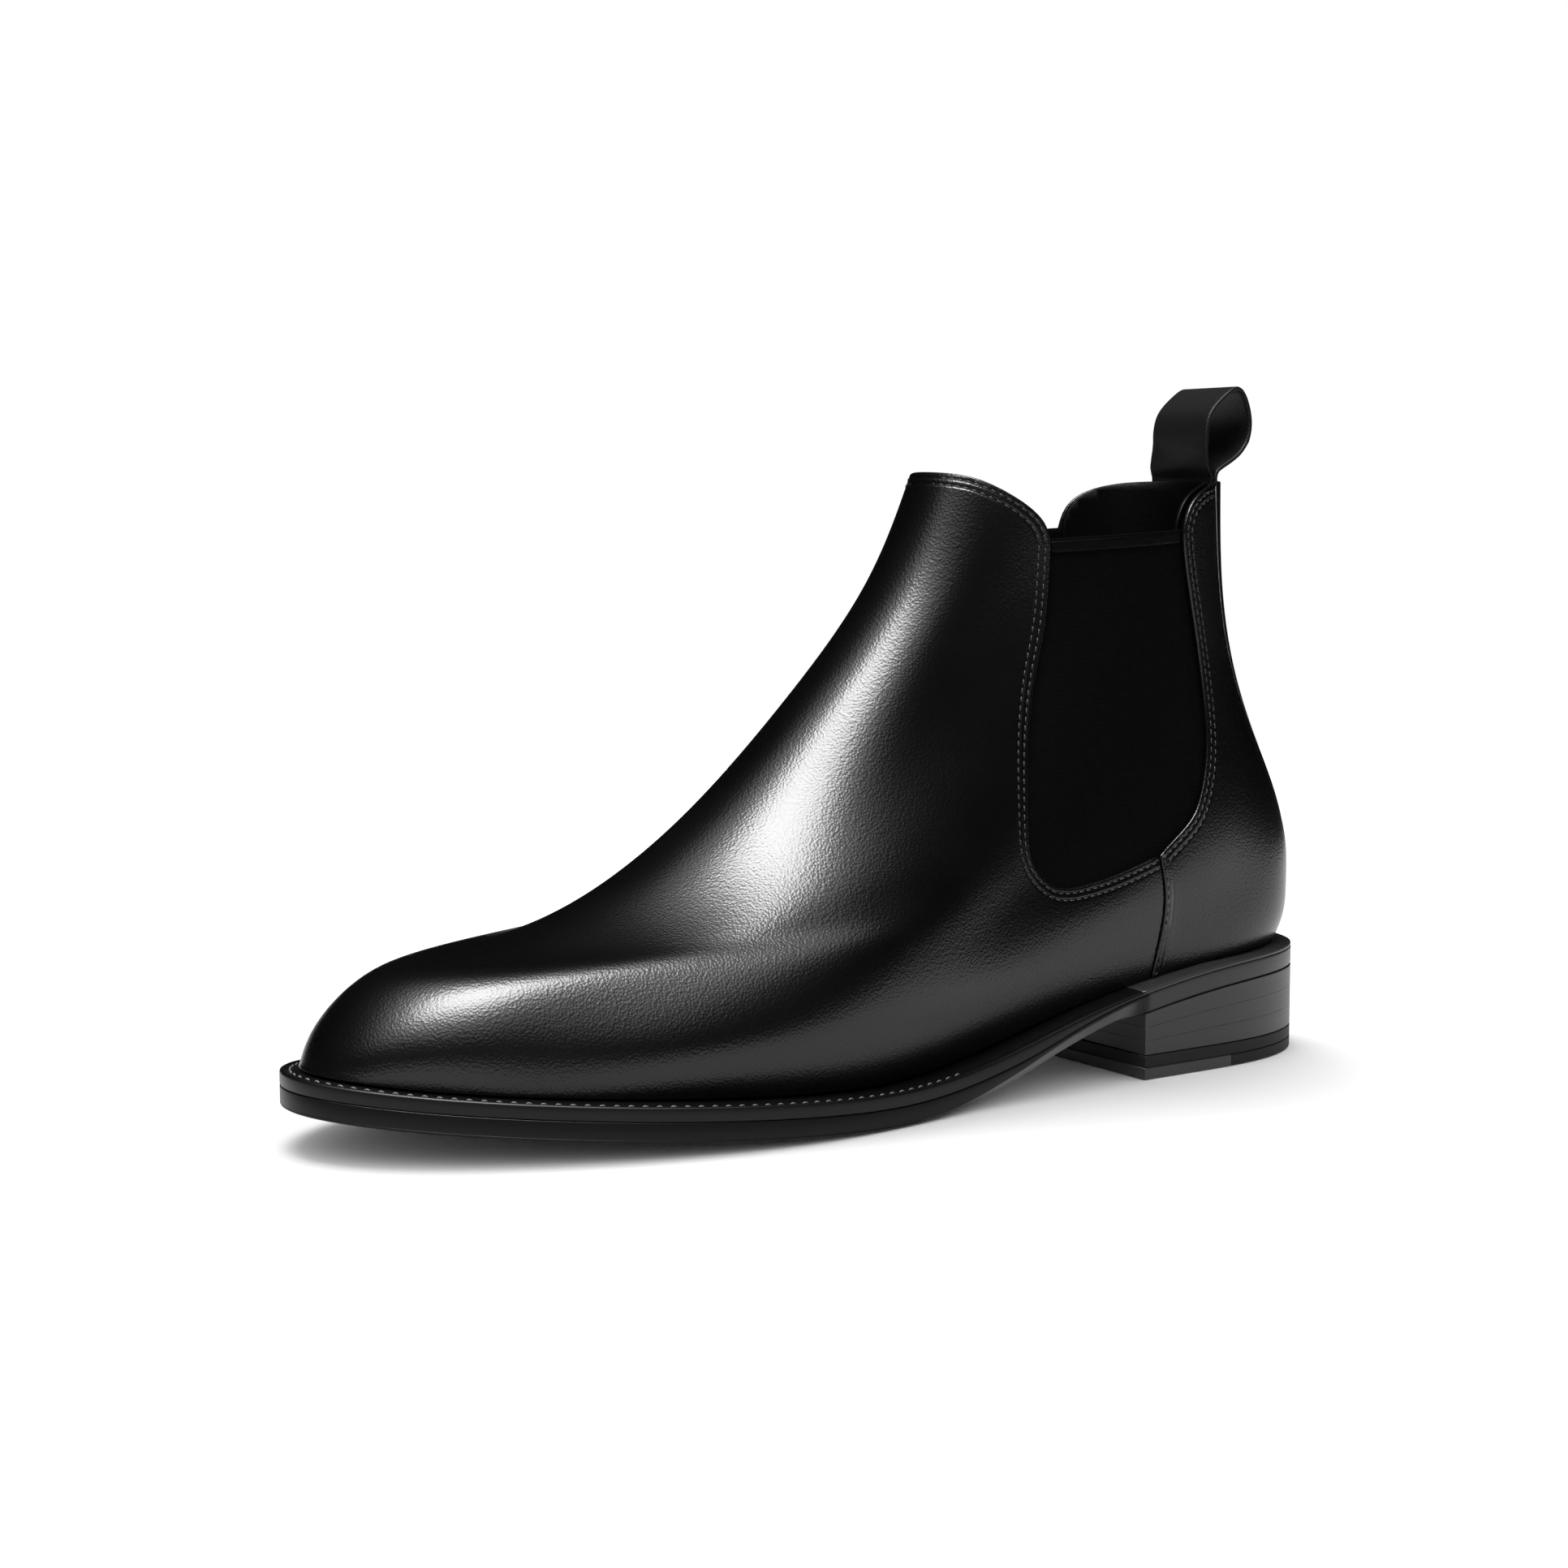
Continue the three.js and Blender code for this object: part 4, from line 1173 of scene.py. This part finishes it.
def slab(inset, low, high):
    """The section of a thin board that lies inside the upper, its rim softened."""
    def section(angles):
        forward = last_surface(angles, 0.0)[:, 1]
        out = np.full_like(angles, -inset)
        bottom, top = low(forward), high(forward)
        return [
            (out - SLAB_RIM, bottom), (out - SLAB_SOFT, bottom), (out, bottom + SLAB_SOFT),
            (out, top - SLAB_SOFT), (out - SLAB_SOFT, top), (out - SLAB_RIM, top),
        ]
    return section


def insole_low(forward):
    """The insole board lies just over the feather line."""
    return feather(forward) + FIT


def sock_low(forward):
    """The sock lies just over the insole board."""
    return insole_low(forward) + INSOLE + FIT


def make_inside():
    """The insole board and the thin sock on top of it."""
    board = plate("insole_board", INSOLE_HIDE, SLAB_STEPS,
                  slab(LINING_INSIDE + INSOLE_INSET, insole_low, lambda f: insole_low(f) + INSOLE))
    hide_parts("insole")
    sock = plate("sock_liner_calf", SOCK_CALF, SLAB_STEPS,
                 slab(LINING_INSIDE + SOCK_INSET, sock_low, lambda f: sock_low(f) + SOCK))
    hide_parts("sock_liner")


def dress_carried_over():
    """Materials for the pieces that keep their CAD shape: the rib, the cork, the shank and the heel pins."""
    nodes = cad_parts
    dressed = {"insole_rib": INSOLE_HIDE, "cork_filler": CORK, "shank": STEEL}
    dressed.update({name: BRASS for name in nodes if name.startswith("heel_pin")})
    for name, material in dressed.items():
        nodes[name].data.materials.clear()
        nodes[name].data.materials.append(material)


# ---- Stitches ----


STITCH_SIDES = 6
# A stitch's thickness along its length, from end to end.
STITCH_ALONG = (-1, -0.75, -0.3, 0.3, 0.75, 1)
STITCH_GIRTH = (0.25, 0.75, 1, 1, 0.75, 0.25)
STITCH_DIP = 1.2
STITCH_FLATNESS = 0.8
STITCH_STANDS = 0.45

UPPER_PITCH = 2.4
UPPER_STITCH = 0.72 * UPPER_PITCH
UPPER_RADIUS = 0.2
SEAM_ROW = -1.3
WELT_PITCH = 3.5
WELT_STITCH = 0.5 * WELT_PITCH
WELT_RADIUS = 0.26
WELT_ROW = 2.5
WELT_ROW_DEPTH = 0.42
WELT_ROW_STANDS = 0.25
WELT_ROW_FROM = 141


def stitch_mesh(name, centres, tangents, normals, length, radius, material):
    """One small bent capsule of thread for each stitch."""
    sides, rings = STITCH_SIDES, len(STITCH_ALONG)
    turn = np.arange(sides) / sides * FULL_TURN
    binormals = unit(np.cross(tangents, normals))
    vertices, faces = [], []
    for c, t, n, b in zip(centres, tangents, normals, binormals):
        start = len(vertices)
        for s, g in zip(STITCH_ALONG, STITCH_GIRTH):
            middle = c + t * s * length / 2 - n * radius * STITCH_DIP * s * s
            for a in turn:
                vertices.append(middle + (n * math.cos(a) * STITCH_FLATNESS + b * math.sin(a)) * radius * g)
        for k in range(rings - 1):
            for q in range(sides):
                p = (q + 1) % sides
                faces.append([start + k * sides + q, start + k * sides + p, start + (k + 1) * sides + p,
                              start + (k + 1) * sides + q])
        faces.append([start + q for q in reversed(range(sides))])
        faces.append([start + (rings - 1) * sides + q for q in range(sides)])
    mesh_piece(name, np.array(vertices), faces, material)


def run_along(points):
    """The distance run along a line of points, at each of them."""
    return np.concatenate([[0], np.cumsum(np.linalg.norm(np.diff(points, axis=0), axis=1))])


def at_places(places, run, values):
    """Columns of values taken at these distances along the run."""
    return np.stack([np.interp(places, run, values[:, d]) for d in range(3)], 1)


def slopes(points, run):
    """The way a line of points goes, at each of them."""
    return np.stack([np.gradient(points[:, d], run) for d in range(3)], 1)


def rows_on_upper(name, line, insets, lift=None):
    """Rows of stitches beside a cutting line, on both sides of the boot."""
    centres, tangents, normals = [], [], []
    for inset in insets:
        row = offset_line(line, inset)
        angle, level = find_on_last(row[:, 0], row[:, 1])
        for side in (1, -1):
            points = last_surface(side * angle, level)
            normal = last_normal(side * angle, level)
            if lift is not None:
                points = points + normal * lift(points)[:, None]
            run = run_along(points)
            count = int(run[-1] / UPPER_PITCH)
            places = (np.arange(count) + 0.5) * UPPER_PITCH + (run[-1] - count * UPPER_PITCH) / 2
            facing = unit(at_places(places, run, normal))
            tangent = at_places(places, run, slopes(points, run))
            tangent = unit(tangent - facing * np.sum(tangent * facing, 1, keepdims=True))
            centres.append(at_places(places, run, points) + facing * UPPER_RADIUS * STITCH_STANDS)
            tangents.append(tangent)
            normals.append(facing)
    stitch_mesh(name, np.concatenate(centres), np.concatenate(tangents), np.concatenate(normals),
                UPPER_STITCH, UPPER_RADIUS, BLACK_THREAD)


def make_welt_stitches():
    """The row of pale stitches in the welt's channel, from waist to waist round the toe."""
    lateral, medial = angle_at_forward(WELT_ROW_FROM)
    round_toe = np.linspace(lateral, FULL_TURN - medial, 2000)
    forward = last_surface(round_toe, 0.0)[:, 1]
    path = at_edge(round_toe, reach(round_toe) - WELT_ROW, welt_top(forward) - WELT_ROW_DEPTH)
    run = run_along(path)
    places = np.arange(WELT_PITCH / 2, run[-1], WELT_PITCH)
    centre = at_places(places, run, path)
    tangent = unit(at_places(places, run, slopes(path, run)))
    up = np.tile([0.0, 0.0, 1.0], (len(centre), 1))
    stitch_mesh("welt_stitches", centre + up * WELT_ROW_STANDS, tangent, up, WELT_STITCH, WELT_RADIUS,
                GREY_THREAD)


def make_stitches():
    """Two rows along each cutting line of the upper, one along the side seam, and the welt's."""
    collar_insets = [-inset for inset in ROW_INSETS]
    rows_on_upper("gore_front_stitches", gore_front, ROW_INSETS)
    rows_on_upper("gore_back_stitches", gore_back, ROW_INSETS)
    rows_on_upper("collar_front_stitches", collar_front, collar_insets)
    rows_on_upper("collar_back_stitches", collar_back[::-1], collar_insets)
    rows_on_upper("quarter_seam_stitches", seam, (SEAM_ROW,), lift=seam_lift)
    make_welt_stitches()


# ---- Pull loop ----
# How far the tape's ends run down inside the collar.
LOOP_HELD = 5
# The tape's middle line from its foot round and back, as (forward, up) from the foot.
LOOP_LINE = [
    (0.75, 0), (2.1, 2.2), (2.8, 4.5), (3.6, 10), (3.3, 14.5), (1.5, 18.5), (-2.9, 22.5), (-7.3, 24.7),
    (-10.4, 21.8), (-12.1, 15.5), (-11, 9.7), (-8, 5.9), (-3.6, 3.2), (-1.3, 1.6), (-0.75, 0),
]
LOOP_FOOT = (31.1, COLLAR + 1)
LOOP_STEPS = 150
STUB_STEPS = 6
TAPE_COLUMNS = 22
SELVEDGE = 0.5
SELVEDGE_SHARE = 0.35
# How the tape leans across its width, and how its foot follows the round of the heel.
TAPE_LEAN = 0.08
LEAN_FULL_AT = 8
FOOT_ROUND = 0.012
ROUND_GONE_AT = 10
# The stretch of tape above the collar's edge, in mm from the edge.
BEND_FROM = -0.5
BEND_TO = 4


def loop_stub(side, heights):
    """One end of the tape inside the collar, a little to the front or back of the foot."""
    return np.column_stack([np.full(len(heights), side * WEB * 0.6), heights])


def make_pull_loop():
    """The webbing loop: held in the collar at its foot, and rising above it."""
    held = np.linspace(-LOOP_HELD, -0.5, STUB_STEPS)
    rising = smooth_line(LOOP_LINE, LOOP_STEPS)
    line = np.vstack([loop_stub(1, held), rising, loop_stub(-1, held[::-1])]) + LOOP_FOOT
    step = unit(np.gradient(line, axis=0))
    normal = np.stack([-step[:, 1], step[:, 0]], 1)
    half = LOOP_WIDTH / 2
    columns = np.linspace(-half + SELVEDGE, half - SELVEDGE, TAPE_COLUMNS)
    across = np.concatenate([[-half], columns, [half]])
    fat = np.concatenate([[SELVEDGE_SHARE], np.full(TAPE_COLUMNS, 0.5), [SELVEDGE_SHARE]]) * WEB
    above_foot = line[:, 1] - LOOP_FOOT[1]
    n, m = len(line), len(across)
    grid = []
    for sign in (1, -1):
        for k in range(m):
            offset = normal * sign * fat[k]
            shift = TAPE_LEAN * across[k] * np.clip(above_foot / LEAN_FULL_AT, 0, 1)
            settle = FOOT_ROUND * across[k] ** 2 * np.clip(1 - above_foot / ROUND_GONE_AT, 0, 1)
            forward = line[:, 0] + offset[:, 0] + shift + settle
            grid.append(np.column_stack([np.full(n, across[k]), forward, line[:, 1] + offset[:, 1]]))
    faces = []
    for i in range(n - 1):
        for k in range(m - 1):
            a = k * n + i
            faces.append([a, a + n, a + n + 1, a + 1])
            b = (m + k) * n + i
            faces.append([b, b + 1, b + n + 1, b + n])
        faces.append([i, i + 1, m * n + i + 1, m * n + i])
        a, b = (m - 1) * n + i, (2 * m - 1) * n + i
        faces.append([a, b, b + 1, a + 1])
    for i, flip in ((0, False), (n - 1, True)):
        cap = [k * n + i for k in range(m)] + [(m + k) * n + i for k in reversed(range(m))]
        faces.append(cap if flip else cap[::-1])
    piece = mesh_piece("pull_loop_tape", np.concatenate(grid), faces, TAPE_WEB, None)
    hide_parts("pull_loop")
    start, end = to_frame([(0, LOOP_FOOT[0], COLLAR + BEND_FROM), (0, LOOP_FOOT[0], COLLAR + BEND_TO)])
    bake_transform(piece)


# ---- Studio, in metres of the frame ----
TABLE = 1.6
BELOW_SOLE = 0.0002
LAMP_DISTANCE = 1.6
LAMP_TARGET = (0, 0, 0.06)
OVERHEAD = Vector((0.218, -0.259, 0.941))
FAR_SIDE = Vector((-0.32, -0.02, 0.947))
# Just behind the softbox, so that the two never lie in one plane.
BEHIND_SOFTBOX = 1.02
SOFTBOX_SIZE = (0.9, 0.8)
SOFTBOX_WATTS = 76
CEILING_SIZE = 2.2
CEILING_WATTS = 24
SIDE_LIGHT_STRENGTH = 1.5
SIDE_LIGHT_SPREAD = math.radians(32)


def aim(thing, place, target):
    """Puts a lamp at a place and turns it to face the target."""
    thing.location = place
    thing.rotation_euler = (Vector(target) - Vector(place)).to_track_quat("-Z", "Y").to_euler()


def make_studio():
    """White paper on a table, an even white room, and one large softbox overhead that the polish mirrors."""
    bpy.ops.mesh.primitive_plane_add(size=TABLE)
    floor = bpy.context.object
    floor.name = "studio_table"
    floor.location = (0, 0, -BELOW_SOLE)
    floor.data.materials.append(white_paper())
    world = bpy.data.worlds.new("white_room")
    bpy.context.scene.world = world
    world.use_nodes = True
    world.cycles_visibility.glossy = False
    background = world.node_tree.nodes["Background"]
    background.inputs["Color"].default_value = (1, 1, 1, 1)
    background.inputs["Strength"].default_value = 1.0
    side_light = bpy.data.lights.new("side_light", "SUN")
    side_light.energy = SIDE_LIGHT_STRENGTH
    side_light.angle = SIDE_LIGHT_SPREAD
    softbox = bpy.data.lights.new("overhead_softbox", "AREA")
    softbox.shape = "RECTANGLE"
    softbox.size, softbox.size_y = SOFTBOX_SIZE
    softbox.energy = SOFTBOX_WATTS
    ceiling = bpy.data.lights.new("pale_ceiling", "AREA")
    ceiling.shape = "SQUARE"
    ceiling.size = CEILING_SIZE
    ceiling.energy = CEILING_WATTS
    for light, direction, mirrored in (
        (side_light, FAR_SIDE, False), (softbox, OVERHEAD, True), (ceiling, OVERHEAD * BEHIND_SOFTBOX, True),
    ):
        lamp = bpy.data.objects.new(light.name, light)
        aim(lamp, direction * LAMP_DISTANCE, LAMP_TARGET)
        lamp.visible_diffuse = not mirrored
        lamp.visible_glossy = mirrored
        lamp.visible_camera = False
        bpy.context.scene.collection.objects.link(lamp)


# The camera stands off the lateral side of the toe, in the boot's own mm, and looks back and a little down.
CAMERA_PLACE = (648.3, 571.1, 158.1)
CAMERA_TURN = math.radians(31.94)
CAMERA_DIP = math.radians(5.69)
SENSOR = 36
LENS = 67.1925


def make_camera():
    """The camera, turned from straight across the boot towards its heel, and dipped."""
    gaze = Vector((
        -math.cos(CAMERA_TURN) * math.cos(CAMERA_DIP), math.sin(CAMERA_TURN) * math.cos(CAMERA_DIP),
        -math.sin(CAMERA_DIP),
    ))
    data = bpy.data.cameras.new("camera")
    data.sensor_width = SENSOR
    data.lens = LENS
    data.clip_start, data.clip_end = 0.01, 50
    camera = bpy.data.objects.new("camera", data)
    camera.location = to_frame(CAMERA_PLACE).tolist()
    camera.rotation_euler = gaze.to_track_quat("-Z", "Y").to_euler()
    bpy.context.scene.collection.objects.link(camera)
    bpy.context.scene.camera = camera


make_camera()
make_upper()
make_gores()
make_stiffeners()
make_outsole()
make_welt()
make_heel()
make_inside()
dress_carried_over()
make_stitches()
make_pull_loop()
make_studio()
bpy.context.scene.view_settings.view_transform = "Standard"
